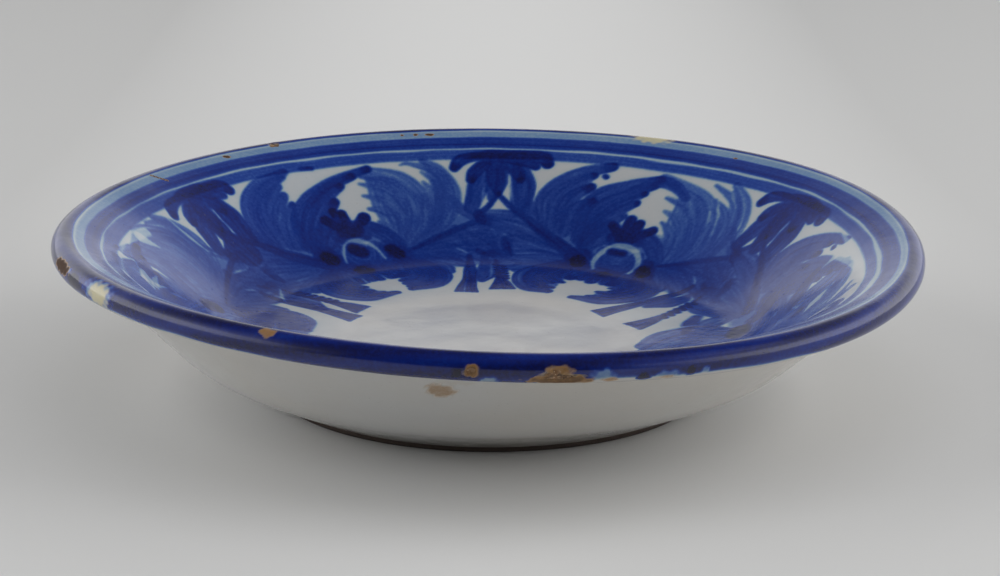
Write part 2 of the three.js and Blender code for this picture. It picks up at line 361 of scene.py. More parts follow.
@dataclass
class Canvas:
    """The unrolled inside of the plate, on which cobalt is laid stroke by stroke."""

    section_run: FaceRun
    glaze: float
    columns: int = 2880
    row: float = 0.18
    first: float = -36.0
    last: float = 80.0
    row_end: float = 1.001
    step: float = 0.6
    least_steps: int = 6
    margin: float = 0.2
    least_way: float = 1e-9
    least_width: float = 0.1
    overlap: float = 0.22
    pool: float = 0.12
    pool_start: float = 0.7
    tip_spread: float = 2.2
    tip_reach: float = 0.6
    brush_edge: float = 1.2
    bristles: int = 22
    bristle_knots: int = 7
    table_end: float = 1.01
    seed: int = 7
    ink: np.ndarray = field(init=False)
    rust: np.ndarray = field(init=False)
    bare: np.ndarray = field(init=False)

    def __post_init__(self) -> None:
        """Prepare empty layers and the seeded bristle pattern."""
        count = int((self.last - self.first) / self.row)
        self.rows = self.first + self.row * np.arange(count)
        self.radii = self.section_run.offset(self.rows, self.glaze)[:, 0]
        self.turns = np.arange(self.columns) * 360 / self.columns
        self.ink, self.rust, self.bare = np.zeros((3, count, self.columns))
        self.random = np.random.default_rng(self.seed)

    def spline(self, points: np.ndarray, count: int) -> np.ndarray:
        """Run a smooth curve through a stroke's points.

        Args:
            points: The stroke's own points.
            count: How many places to return.

        Returns:
            Evenly spread places along the curve.
        """
        ends = np.vstack([2 * points[0] - points[1], points, 2 * points[-1] - points[-2]])
        place = np.linspace(0, len(points) - 1, count)
        index = np.minimum(place.astype(int), len(points) - 2)
        part = (place - index)[:, None]
        a, b, c, d = (ends[index + shift] for shift in range(4))
        cubic = 3 * b - a - 3 * c + d
        square = 2 * a - 5 * b + 4 * c - d
        return 0.5 * (2 * b + (c - a) * part + square * part**2 + cubic * part**3)

    def streaks(self, along: np.ndarray, across: np.ndarray) -> np.ndarray:
        """Tone of the bristle tracks inside one stroke.

        Args:
            along: Place along the stroke, 0 to 1.
            across: Place across the stroke, as far as the brush's edge on both sides.

        Returns:
            Values about 0 that follow the stroke.
        """
        table = self.random.normal(0, 1, (self.bristle_knots, self.bristles))
        table = (table + np.roll(table, 1, axis=0)) / math.sqrt(2)
        far = np.clip(along, 0, 1) * (self.bristle_knots - self.table_end)
        wide = (across + self.brush_edge) / (2 * self.brush_edge) * (self.bristles - self.table_end)
        i = far.astype(int)
        j = wide.astype(int)
        u = smooth(far - i)
        v = smooth(wide - j)
        near_side = table[i, j] * (1 - v) + table[i, j + 1] * v
        far_side = table[i + 1, j] * (1 - v) + table[i + 1, j + 1] * v
        return near_side * (1 - u) + far_side * u

    def lay(self, stroke: Stroke, turn: float) -> None:
        """Lay one stroke on the cobalt layer.

        Args:
            stroke: The stroke to lay.
            turn: How far to the right its motif stands, in degrees.
        """
        path = np.reshape(stroke.path, (-1, 2)) + (turn, 0.0)
        scale = np.interp(path[:, 1], self.rows, self.radii) * DEGREE
        length = float(np.hypot(np.diff(path[:, 0]) * scale[:-1], np.diff(path[:, 1])).sum())
        count = max(self.least_steps, int(length / self.step))
        line = self.spline(path, count)
        steps = np.linspace(0, 1, count)
        width = np.interp(steps, np.linspace(0, 1, len(stroke.widths)), stroke.widths)
        reach = float(width.max()) + stroke.soft + self.margin
        low = max(0, int((line[:, 1].min() - reach - self.first) / self.row))
        high = min(len(self.rows), int((line[:, 1].max() + reach - self.first) / self.row) + 2)
        if high <= low:
            return
        span = math.degrees(reach / max(float(self.radii[low:high].min()), LEAST_RADIUS))
        left = math.floor((line[:, 0].min() - span) * self.columns / 360)
        right = math.ceil((line[:, 0].max() + span) * self.columns / 360) + 1
        columns = np.arange(left, right)
        turns = columns * 360 / self.columns
        inset = self.rows[low:high]
        degree = self.radii[low:high] * DEGREE
        aside = (turns[None, :, None] - line[None, None, :, 0]) * degree[:, None, None]
        down = (inset[:, None] - line[None, :, 1])[:, None, :]
        nearest = (aside * aside + down * down).argmin(axis=-1)
        dx = np.take_along_axis(aside, nearest[..., None], axis=-1)[..., 0]
        dy = inset[:, None] - line[nearest, 1]
        way_x = np.gradient(line[:, 0]) * np.interp(line[:, 1], self.rows, self.radii) * DEGREE
        way_y = np.gradient(line[:, 1])
        norm = np.hypot(way_x, way_y) + self.least_way
        way_x = (way_x / norm)[nearest]
        way_y = (way_y / norm)[nearest]
        ahead = dx * way_x + dy * way_y
        side = dx * way_y - dy * way_x
        behind = (nearest == 0) & (ahead < 0)
        beyond = (nearest == count - 1) & (ahead > 0)
        outside = behind | beyond if stroke.cap is Cap.ROUND else behind
        off = np.where(outside, np.hypot(dx, dy), np.abs(side))
        along = (nearest + np.clip(ahead * count / length, -0.5, 0.5)) / (count - 1)
        here = np.interp(along, steps, width)
        cover = smooth((here - off) / stroke.soft + 0.5)
        if stroke.cap is Cap.FLAT:
            cover = cover * np.where(beyond, np.clip(0.5 - ahead / stroke.soft, 0, 1), 1.0)
        wrapped = columns % self.columns
        under = self.ink[low:high][:, wrapped]
        if stroke.wipes:
            self.ink[low:high, wrapped] = under * (1 - cover * stroke.load)
            return
        across = np.clip(side / np.maximum(here, self.least_width), -self.brush_edge, self.brush_edge)
        laid = stroke.load * (1 + stroke.streak * self.streaks(along, across))
        pooled = smooth((np.abs(across) - self.pool_start) / (1 - self.pool_start))
        laid = laid + stroke.load * self.pool * pooled
        left_over = (1 - along) * length
        laid = laid + stroke.tip * smooth(1 - left_over / (self.tip_spread * width[-1] + self.tip_reach))
        fresh = np.maximum(laid, 0) * cover
        self.ink[low:high, wrapped] = np.maximum(np.maximum(under, fresh), self.overlap * under + fresh)

    def blurred(self, layer: np.ndarray, reach: int) -> np.ndarray:
        """Spread a layer as melting glaze does.

        Args:
            layer: The layer to spread.
            reach: Cells on each side that a cell spreads over.

        Returns:
            A soft copy of the layer.
        """
        size = 2 * reach + 1
        for _ in range(2):
            shifts = range(-reach, reach + 1)
            layer = sum(np.roll(layer, shift, axis=1) for shift in shifts) / size
            tall = np.pad(layer, ((reach, reach), (0, 0)), mode="edge")
            layer = sum(tall[start : start + len(layer)] for start in range(size)) / size
        return layer

    def sample(self, layer: np.ndarray, turn: np.ndarray, inset: np.ndarray) -> np.ndarray:
        """Read a layer between its cells.

        Args:
            layer: The layer to read.
            turn: Turns to the right in degrees.
            inset: Insets in millimetres.

        Returns:
            The layer's value at each place.
        """
        column = (turn % 360) * self.columns / 360
        row = np.clip((inset - self.first) / self.row, 0, len(self.rows) - self.row_end)
        i = row.astype(int)
        j = column.astype(int) % self.columns
        u = row - i
        v = column - np.floor(column)
        k = (j + 1) % self.columns
        upper = layer[i, j] * (1 - v) + layer[i, k] * v
        lower = layer[i + 1, j] * (1 - v) + layer[i + 1, k] * v
        return upper * (1 - u) + lower * u


# The flower that hangs from the border line
SEPALS = (
    ((-1.8, 17, -3, 24, -4.4, 31.5), (2.2, 2.9, 1.9)),
    ((0.3, 15, 0.4, 22, -0.3, 27.5), (2, 2.8, 1.2)),
    ((4.4, 16.5, 5.4, 23, 5.5, 31.5), (2.4, 3.6, 2.7)),
)

FLOWER_CAP = (
    ((-3, 13, -0.5, 11.9, 3, 11.8, 6.4, 12.6), (1.4, 1.7, 2.2, 1.9)),
    ((-0.5, 12.6, -3.2, 12.8, -5.8, 14.2, -7, 16.9), (1, 1.6, 2, 1.3), 0.7),
    ((1.5, 12.6, 5, 12.4, 8.4, 13, 9.4, 15), (1.2, 2, 2.4, 1.6), 0.6),
    ((1.5, 13.6, 5, 14.6, 7.4, 16.2), (1.4, 1.9, 1.2)),
)

PETALS = (
    ((0.2, 13.4, -1.8, 15.8, -3.5, 18.8, -4.1, 21.2), (1.2, 1.9, 1.9, 1.3), 0.8),
    ((1, 13.4, 3, 16, 4.4, 18.8, 4.9, 21), (1.4, 2.2, 2.1, 1.3), 0.8),
    ((0.4, 13.4, 0.5, 18, 0.7, 22.5, 0.9, 26.4), (1.8, 3.2, 2.7, 0.8), 0.9),
    ((-0.6, 12.9, 1.2, 13.2), (1.6, 1.6), 0.15),
)

SLIVERS = (
    ((-1.7, 22.5, -1.95, 26, -2.4, 29.3), (0.1, 0.35, 0.1)),
    ((3.1, 19, 3.3, 24, 4, 30), (0.1, 0.4, 0.15)),
)

CLOSED_HEART = (
    ((0.2, 19, 0.6, 25, 0.8, 30), (2.6, 3.2, 2.4)),
)

FLOODED_TIP = (
    ((0.9, 27, 1.2, 31, 2, 35.5), (1.2, 3.6, 4.6)),
)

FLOWER = (Layer(1.3, FLOWER_CAP), Layer(1.2, PETALS))
OPEN_TULIP = (Layer(0.95, SEPALS), *FLOWER, Layer(0.85, SLIVERS, wipes=True))
CLOSED_TULIP = (Layer(1.25, SEPALS), *FLOWER, Layer(1.25, CLOSED_HEART))
FLOODED_TULIP = (*CLOSED_TULIP, Layer(1.25, FLOODED_TIP))

# The stem below a tulip, which forks to the leaf nodes on both sides
FORK_GAP = (
    ((4.4, 28.4, 6, 31.4, 8.6, 34.4), (0.7, 1.6, 1.6)),
    ((-2.6, 33, 1, 33.4, 4.6, 33.8, 8, 35.4), (1.3, 1.9, 1.9, 1.4)),
)

FORKS = (
    ((0.8, 26.4, -0.9, 30.3, -3.3, 34), (0.6, 0.75, 1)),
    ((-2.9, 33.2, -2.3, 35.4), (1.7, 1.5)),
    ((-3.3, 35.5, -10.1, 39.8, -16.4, 43.4, -19.6, 44.9), (0.9, 0.9, 0.7, 0.5)),
    ((1, 26.4, 3.4, 30.2, 7, 34.3, 10.5, 38.4, 14.5, 42, 19, 45.8), (0.6, 0.8, 1.2, 1.6, 1.9, 2)),
)

FORKED_STEM = (Layer(0.7, FORK_GAP), Layer(1.25, FORKS))

# Broad washes that fan from the nodes into the gap under a tulip
NODE_FAN = (
    ((-20, 45, -13, 41.8, -7, 39.2, -2, 38), (0.6, 1.6, 2.3, 2), 0.1),
    ((-20, 45.2, -13, 43.4, -6, 42, -0.5, 41.8), (0.7, 1.8, 2.4, 2.2), 0.1),
    ((-20, 45.6, -13, 45.4, -8, 45, -3.6, 44.6), (0.8, 1.9, 2, 1.4)),
    ((-20, 46, -14, 48, -9, 50.5, -6, 53), (0.8, 2.2, 2.7, 2)),
    ((-20, 46.5, -16, 50, -12.5, 54, -11.8, 57.6), (0.8, 2.2, 2.8, 1.8), 0.1),
    ((20, 46.5, 12, 41.5, 5, 38, -2.2, 34.8), (1, 2.4, 2.8, 1.9), 0.5),
    ((20, 47, 12, 44, 6, 42.3, 3.4, 42.6), (1, 2.4, 2.6, 2.2), 0.25),
    ((20, 47.5, 12, 47.5, 6, 47.8, -0.4, 47.2), (1, 2.5, 2.6, 1.7), 0.6),
    ((20, 48, 14, 51, 8, 53.5, 4, 55), (1, 2.6, 2.8, 1.8)),
    ((20, 48.5, 15, 52, 9.5, 55.5, 6.8, 56.6), (1, 2.6, 2.6, 1.5)),
    ((-8.2, 27, -6.6, 31, -4.4, 34), (0.9, 1.6, 1.2)),
    ((7.4, 29, 8.6, 33, 11, 37), (1, 1.8, 1.4)),
    ((-13, 44, -6, 46.5, 0, 48.5, 5, 50.5), (2, 3.6, 3.6, 3)),
    ((0.5, 40.5, 1.5, 45.5, 1, 50), (2.2, 3, 2.6)),
    ((-8, 38.5, -3, 43, 2, 47), (2, 3, 2.4)),
)

NODE_DABS = (
    ((-3.4, 46, -2, 47.2), (1.2, 1), 0.4),
    ((2.6, 41.5, 3.4, 44.5, 4.4, 47.5), (1, 1.8, 1)),
)

NODE_SLIT = (
    ((-8.2, 44.9, -6.8, 45.9, -5.4, 47.3), (0.2, 0.5, 0.1)),
)

NODE_WASHES = (
    Layer(0.7, NODE_FAN, 0.3),
    Layer(1.15, NODE_DABS, soft=MELTED),
    Layer(0.85, NODE_SLIT, wipes=True),
)

# A leafy bud whose left plumes end in dark dabs, with a ring and a fruit in its heart
DABBED_FILLS = (
    ((8.6, 42, 8.4, 36, 8, 29, 7.9, 23, 7.2, 17.6), (0.8, 2, 2.9, 2.6, 1.3)),
    ((11.4, 40, 12, 33, 11.8, 26, 9.8, 20), (1.2, 2.4, 2.6, 1.6)),
    ((19.6, 34, 20.6, 27, 19.9, 20.5, 17.8, 15.2), (1.4, 2.6, 2.4, 1)),
    ((-17.6, 34, -17.4, 28, -15.6, 22.6, -13.2, 18.4), (2, 3.2, 3, 1.4)),
    ((-11.6, 38, -9, 31, -5.6, 25.6, -1.8, 21.4, 3, 17.8), (2, 3, 2.6, 1.8, 1)),
    ((-10.5, 52, -14, 57, -14, 61.5, -11.6, 65.2), (3, 4.4, 4.4, 3)),
    ((7.5, 51, 8.6, 56, 8, 60.6, 6, 66), (3, 4.2, 4.4, 2.6)),
)

DABBED_OUTER = (
    ((-20.5, 34.5, -20.6, 27, -18.4, 20.5, -14, 15.8, -7.8, 13), (1.6, 2.6, 2.6, 2.2, 1.2), 0.2),
    ((-19, 35.5, -19.2, 28, -17.3, 22, -13.4, 17.6, -8.8, 14.5), (1.6, 2.5, 2.5, 2, 1.1), 0.2),
    ((-17.5, 36, -17, 29, -15.4, 23, -12.8, 19.6, -10.6, 17.4), (1.6, 2.4, 2.3, 1.8, 1.2), 0.1),
    ((-4.4, 12.9, -2.6, 13.3), (0.8, 0.7), 0.6),
    ((-16, 37, -15.4, 30, -13.2, 25, -10.6, 20.8), (1.6, 2.4, 2.1, 1.3), 0.1),
    ((-14.5, 38, -13, 32, -11.4, 27.4, -9.9, 24.2), (1.6, 2.4, 2, 1), 0.4),
)

DABBED_INNER = (
    ((-13, 38.5, -11, 30, -6.4, 23.8, 0.2, 19, 7.4, 15.8), (1.6, 2.2, 2.1, 1.7, 1.2), 0.9),
    ((-12, 39.5, -9.4, 31.5, -5.6, 25.4, -1.4, 20.8, 4.2, 17.6), (1.6, 2.2, 2.2, 1.8, 1.2), 1),
    ((-11, 40.5, -8.2, 33.5, -4.8, 28, -1.8, 23.4, 1.2, 20.6), (1.6, 2.2, 2.2, 1.7, 1.2), 1),
    ((-10, 41.5, -7.4, 36, -4.4, 30.5, -1.2, 25.6), (1.6, 2.1, 2, 1.3), 0.9),
)

DABBED_FEATHERS = (
    ((9.6, 44.4, 15, 37, 16.2, 28, 13.2, 20, 6.8, 15.8), (0.5, 2.4, 2.6, 2.2, 1)),
    ((9.6, 44.4, 13.4, 37, 14.2, 29, 11, 21.6, 5.5, 18), (0.5, 2.2, 2.4, 2, 0.5)),
    ((9.6, 44.4, 11.9, 37, 12.2, 30, 9.4, 23.6, 5, 20.6), (0.5, 2, 2.3, 1.8, 0.4)),
    ((9.6, 44.4, 11, 38, 11, 31.5, 8.6, 26.8, 4.9, 24.8), (0.5, 1.9, 2.1, 1.7, 0.4)),
    ((9.6, 44.4, 10, 39, 9.6, 33.5, 7.6, 30.4, 5, 29.4), (0.5, 1.7, 1.9, 1.5, 0.4)),
    ((9.6, 44.4, 9, 40.5, 8.2, 37, 6.2, 34), (0.5, 1.6, 1.6, 0.4)),
    ((10.5, 44.6, 20, 35, 22.2, 26, 20.2, 18, 17.5, 14.2), (0.6, 2.4, 2.4, 1.8, 1)),
    ((10.5, 44.6, 19.2, 36, 21.4, 27, 19.9, 18.8, 15.2, 15, 13.4, 15.2), (0.6, 2.2, 2.2, 1.6, 0.6, 0.2)),
    ((10.5, 44.6, 18.2, 36.5, 19.9, 28.5, 19.2, 21.6, 17, 18), (0.6, 2.2, 2.2, 1.5, 0.4)),
    ((10.5, 44.6, 17.3, 37.5, 18.4, 31, 18.2, 25.6, 17, 21.6), (0.6, 2.2, 2.2, 1.6, 0.5)),
    ((10.5, 44.6, 15.6, 38, 16.8, 32, 16.8, 26.4), (0.6, 2.2, 2.2, 1)),
)

DABBED_FLESH = (
    ((-9, 42, -6.4, 38, -2, 35.6, 3, 35.8, 6.6, 38.6, 9, 42.5), (2.4, 2.8, 2.6, 2.6, 2.6, 2.2)),
    ((-4.6, 42, -2.6, 47.5, 1.6, 47.5, 3.2, 42), (2, 2.6, 2.6, 2)),
    ((-7.4, 44, -5, 50, 0, 52.5, 4.6, 50, 7.6, 45.5), (2.4, 3.2, 3.4, 3.2, 2.4)),
)

DABBED_AURA = (
    ((-9.4, 43, -7.8, 46.4), (4, 4)),
    ((6.6, 43.4, 8.6, 46.6), (3.6, 3.8)),
    ((-3.2, 36.8, 1.4, 36.8), (3.4, 3.4)),
    ((-4.4, 50.6, -1.4, 51), (3.2, 3.2)),
)

DABBED_CROWN = (
    ((-1.4, 37, -3.2, 34, -4.9, 31.3), (1.5, 1.5, 1.7), 0.9),
    ((-1.2, 37, -2, 32.5, -2.5, 28.8), (1.5, 1.5, 1.4), 0.9),
    ((-0.6, 37, -0.8, 33, -0.9, 30), (1.5, 1.5, 1.3), 0.9),
    ((0, 37, 1.8, 34.3, 3.4, 32.2), (1.5, 1.5, 1.7), 0.9),
    ((-2.6, 36.4, 0.9, 36.4), (2, 2)),
)

DABBED_ARCH = (
    (
        (-5.5, 46.6, -4.8, 43.2, -3.2, 40.4, -0.7, 39.3, 1.8, 40.5, 3.6, 43.2, 4.4, 47),
        (0.45, 0.6, 0.75, 1, 0.75, 0.6, 0.45),
    ),
)

DABBED_FRUIT = (
    ((-1.9, 42.2, -0.4, 43.4), (2, 2.3)),
    ((-3.6, 50.8, -2.2, 51.2), (2.4, 2.4)),
)

DABBED_NODES = (
    ((-9.2, 43.4, -8.6, 44.6), (2.4, 2.5)),
    ((6.8, 43.6, 8, 45.8), (2, 2.2)),
)

DABBED_WASH = (
    ((-3, 15.5, 3, 21, 4.6, 27, 4, 35), (2.2, 4.6, 4.8, 4.4)),
    ((9, 15, 13, 17.6, 17, 22, 18, 28), (2, 3, 3, 2.4)),
    ((-13, 14.6, -9, 17.4, -5, 20), (2.2, 3.2, 2.4)),
    ((-3.6, 22, -1.8, 28, -1, 34), (2.6, 3.4, 3.6)),
    ((-8, 37, 0, 40, 7, 44, 9, 50), (4.6, 5.4, 4.6, 4)),
    ((-5, 46, 0, 52, 4, 58, 2, 64), (5, 5.4, 5.4, 4.8)),
)

DABBED_KNOT = (
    ((3.6, 40.8, 5.4, 43.2), (2.4, 2.6)),
)

DABBED_FANS = (
    ((-11, 48, -18.4, 56, -18.8, 63, -13.6, 68.2, -3, 69), (1.5, 3.2, 3.4, 3, 1), 0.25),
    ((-10.5, 48.5, -16.2, 56, -16.2, 62, -12, 66.2, -6.6, 67.1), (1.5, 2.8, 3, 2.2, 0.6), 0.25),
    ((-10, 49, -14, 55.8, -14, 61.2, -11.4, 64.2, -9.2, 65), (1.5, 2.6, 2.6, 2, 0.6), 0.25),
    ((-9.5, 49.5, -11.8, 55.3, -11.6, 60, -9, 61.8), (1.5, 2.4, 2.2, 0.6), 0.25),
    ((-9, 50, -9.6, 54.3, -8.8, 57.8, -6.4, 58.8), (1.5, 2.3, 2, 0.6), 0.25),
    ((10, 47.5, 14.6, 54, 15.2, 61, 11.4, 66.2, 3, 68.2), (1.5, 3, 3.2, 2.8, 1), 0.25),
    ((9.5, 48, 12.8, 54, 13, 60.5, 9.6, 65, 3.6, 66.2), (1.5, 2.7, 2.8, 2.1, 1.1), 0.25),
    ((9, 48.5, 11, 54, 11, 59.6, 8, 63.2, 3.4, 63.8), (1.5, 2.5, 2.6, 1.9, 1.1), 0.25),
    ((8.5, 49, 9.2, 54, 8.8, 58.4, 6.8, 60.8, 3.4, 61.4), (1.5, 2.3, 2.3, 1.5, 1.1), 0.25),
    ((8, 49.5, 7.4, 54, 5.8, 57.2, 2.9, 58.2), (1.5, 2.2, 2, 1), 0.25),
    ((-6.4, 50.5, -7.2, 57.2), (2, 1.6), 0.2),
    ((-2.8, 51.5, -4.4, 57.4), (2, 1.8), 0.2),
    ((-1.2, 51.5, -1.9, 57.8), (1.8, 1.6), 0.2),
    ((0.8, 51.5, 1.6, 57.6), (2, 1.7), 0.2),
    ((3.8, 51, 4.8, 57.4), (2.2, 1.9), 0.2),
)

DABBED_SLITS = (
    ((-6.2, 55.6, -6.8, 58.8), (0.2, 0.5)),
    ((-0.4, 55, -0.2, 58.2), (0.15, 0.4)),
)

DABBED_SPRAY = (
    Layer(0.42, DABBED_FILLS, 0.3),
    Layer(0.72, DABBED_OUTER),
    Layer(0.95, DABBED_INNER),
    Layer(0.45, DABBED_FEATHERS, 0.35),
)
DABBED_HEART = (
    Layer(0.9, DABBED_FLESH),
    Layer(1.15, DABBED_AURA, soft=MELTED),
    Layer(1.7, DABBED_CROWN),
    Layer(0.86, DABBED_ARCH, wipes=True),
    Layer(2.7, DABBED_FRUIT, soft=MELTED),
    Layer(2.9, DABBED_NODES, soft=MELTED),
)
DABBED_FLOOD = (Layer(0.6, DABBED_WASH, 0.35), Layer(1.8, DABBED_KNOT, soft=MELTED))
DABBED_LEAVES = (Layer(0.98, DABBED_FANS), Layer(0.85, DABBED_SLITS, wipes=True))
DABBED_BUD = DABBED_SPRAY + DABBED_HEART + DABBED_LEAVES
FLOODED_DABBED_BUD = DABBED_SPRAY + DABBED_FLOOD + DABBED_LEAVES

# A leafy bud with streaked right plumes, an open ring and a pointed lower leaf
FEATHERED_FILLS = (
    ((11, 43, 9.6, 37, 8.3, 30.5, 7.7, 25, 6.4, 19.6), (0.8, 2, 2.7, 2.3, 1.2)),
    ((13, 42, 13.6, 34, 12.4, 27, 9.8, 21), (1.2, 2.4, 2.6, 1.6)),
    ((18.8, 36, 20.2, 29, 19, 22, 16, 16.4), (1.4, 2.6, 2.2, 0.9)),
    ((-16.6, 35, -17, 29, -15.6, 24, -13, 20), (2, 3, 3, 1.6)),
    ((-10.6, 39, -9.2, 32, -6, 26.4, -2.4, 21.6), (2, 3, 2.8, 1.6)),
)

FEATHERED_LOW_FILLS = (
    ((-10.5, 53, -14.4, 58, -14.2, 62.4, -11.6, 65.6), (3, 4.4, 4.4, 2.6)),
    ((9.5, 53, 13.4, 58.4, 12.8, 63.2, 9, 67.2), (3, 4.6, 4.4, 2.4)),
)

FEATHERED_OUTER = (
    ((-19.5, 35.5, -20.2, 28, -17.9, 22, -13.6, 17.2, -9, 14.4), (1.6, 2.5, 2.5, 2.1, 1.5), 0.7),
    ((-17.8, 36.5, -18, 29, -16.2, 23.4, -13.6, 19.8, -11.8, 17.9), (1.6, 2.4, 2.4, 1.9, 1.1), 0.9),
    ((-9.9, 17.8, -9.5, 18.2), (0.6, 0.6), 0.9),
    ((-16.2, 37.5, -16.2, 30.5, -14.6, 25.6, -11.8, 22.2), (1.6, 2.4, 2.3, 1.4), 0.9),
    ((-14.6, 38.5, -14.2, 32.5, -12.8, 29, -10.6, 26.6), (1.6, 2.3, 2.1, 1.2), 0.9),
)

FEATHERED_INNER = (
    ((-11.6, 40, -12, 31.5, -9.7, 24.4, -4.4, 20.2, 0.8, 16.9), (1.6, 2.3, 2.2, 2, 1.4), 0.8),
    ((-11, 40.5, -10.8, 33, -8.2, 27.4, -3.8, 22.6, 0.2, 19.4), (1.6, 2.3, 2.3, 1.9, 1), 0.6),
    ((-10.4, 41.3, -9.4, 34.6, -6.4, 28.6, -3.2, 24.4, -1.1, 22.2), (1.6, 2.2, 2.2, 1.7, 1), 0.9),
    ((-3.5, 21.5, 0.5, 17.6, 4, 18.2, 7.5, 21.5), (1.5, 2, 1.8, 1.2)),
    ((-9.8, 42, -8.4, 35.6, -5.8, 30.6, -3.2, 27.2, -1.8, 25.8), (1.6, 2.2, 2, 1.5, 1), 0.9),
    ((-9.2, 42.5, -7.6, 37.4, -5.2, 33.2, -3.2, 30.6), (1.6, 2, 1.8, 1), 0.3),
)

FEATHERED_FEATHERS = (
    ((12, 46, 16, 38, 15.2, 29, 11.8, 21, 3, 16.6, 1, 15.6), (0.5, 2.4, 2.5, 2.1, 1.4, 1)),
    ((11.5, 46, 14.9, 38, 13.8, 30, 10.4, 22.6, 5, 18.6), (0.5, 2.2, 2.3, 1.9, 0.5)),
    ((11, 46, 13.6, 38.5, 12.4, 31, 8.8, 24.8, 3.5, 22.4), (0.5, 2.1, 2.2, 1.7, 0.4)),
    ((10.5, 46, 12.1, 39, 10.8, 32.5, 8, 28.6, 4.5, 26.8), (0.5, 2, 2, 1.5, 0.4)),
    ((10, 46, 10.7, 40, 9.2, 35.2, 7, 32, 5.2, 30.6), (0.5, 1.8, 1.8, 1.2, 0.4)),
    ((14, 46, 22.2, 37, 22.6, 27, 20, 19, 15.4, 13.8), (0.6, 2.4, 2.3, 1.9, 1)),
    ((13.5, 46, 21, 37.5, 21.2, 28, 18.4, 20, 11.6, 15.3), (0.6, 2.2, 2.1, 1.6, 0.45)),
    ((13, 46, 19.6, 38, 19.6, 30, 17.6, 24, 13.4, 20), (0.6, 2.2, 2, 1.5, 0.45)),
    ((12.5, 46, 18, 38.5, 18, 31, 16.8, 26.4, 14.2, 23), (0.6, 2.2, 2, 1.4, 0.45)),
    ((12.2, 46, 16.4, 39, 16.4, 33, 15.8, 27.5), (0.6, 2.2, 2, 0.9)),
)

FEATHERED_STREAKS = (
    ((15.2, 16, 17, 18.4, 18.9, 20.9), (0.15, 0.4, 0.1)),
    ((13.9, 19.7, 16.2, 24.7, 17.9, 30.9), (0.2, 0.45, 0.1)),
    ((13.9, 24, 15.5, 29), (0.3, 0.1)),
)

FEATHERED_FLESH = (
    ((-9, 42.5, -6.4, 39, -2, 36.6, 3, 36.6, 6.8, 39.4, 9.4, 43.5), (2.4, 2.8, 2.5, 2.5, 2.6, 2.2)),
    ((-4.2, 43.5, -2.6, 49.5, 2.2, 49.5, 4.2, 43.5), (2.2, 2.8, 2.8, 2.2)),
    ((-7.6, 46, -5, 52.5, 0, 55, 5, 52.5, 8.2, 47.5), (2.4, 3.2, 3.4, 3.2, 2.4)),
)

FEATHERED_MIDDLE = (
    ((-1.8, 46, 1.8, 46), (3, 3)),
)

FEATHERED_AURA = (
    ((-9.8, 46.8, -8.4, 50), (4.2, 4.2)),
    ((7.6, 46.8, 9.4, 50.4), (3.6, 3.8)),
    ((-3, 38.2, 1.6, 38.2), (3, 3)),
    ((-1.8, 53, 1.4, 53.6), (3.6, 3.6)),
)

FEATHERED_CROWN = (
    ((-1.2, 38.6, -3.2, 36, -4.8, 34.1), (1.5, 1.5, 1.4), 0.5),
    ((-1, 38.6, -1.2, 34.6, -1.4, 31.6), (1.7, 1.9, 1.6), 0.4),
    ((-0.5, 38.6, 0.4, 35, 0.8, 32.6), (1.7, 1.9, 1.5), 0.4),
    ((0.2, 38.6, 2.6, 35.8, 4.4, 33.9), (1.5, 1.5, 1.3), 0.5),
    ((-2.2, 38, 0.9, 38.2), (1.5, 1.5), 0.1),
)

FEATHERED_ARCH = (
    (
        (-4.2, 51, -5.4, 47.6, -4.7, 43.9, -2.7, 41.2, 0, 40.3, 2.9, 41.4, 5, 44.2, 5.8, 47.6, 5.2, 50.8),
        (0.6, 0.85, 1, 1.05, 1.1, 1.05, 1, 0.85, 0.6),
    ),
)

FEATHERED_FRUIT = (
    ((-2.5, 43, 0.5, 43.1), (1.1, 1.1), 0.1),
    ((-0.8, 53.2, 0.6, 53.4), (2, 2)),
)

FEATHERED_NODES = (
    ((-9.3, 47.6, -8.7, 48.8), (2.4, 2.5)),
    ((8, 47.6, 9, 49.2), (2.1, 2.3)),
)

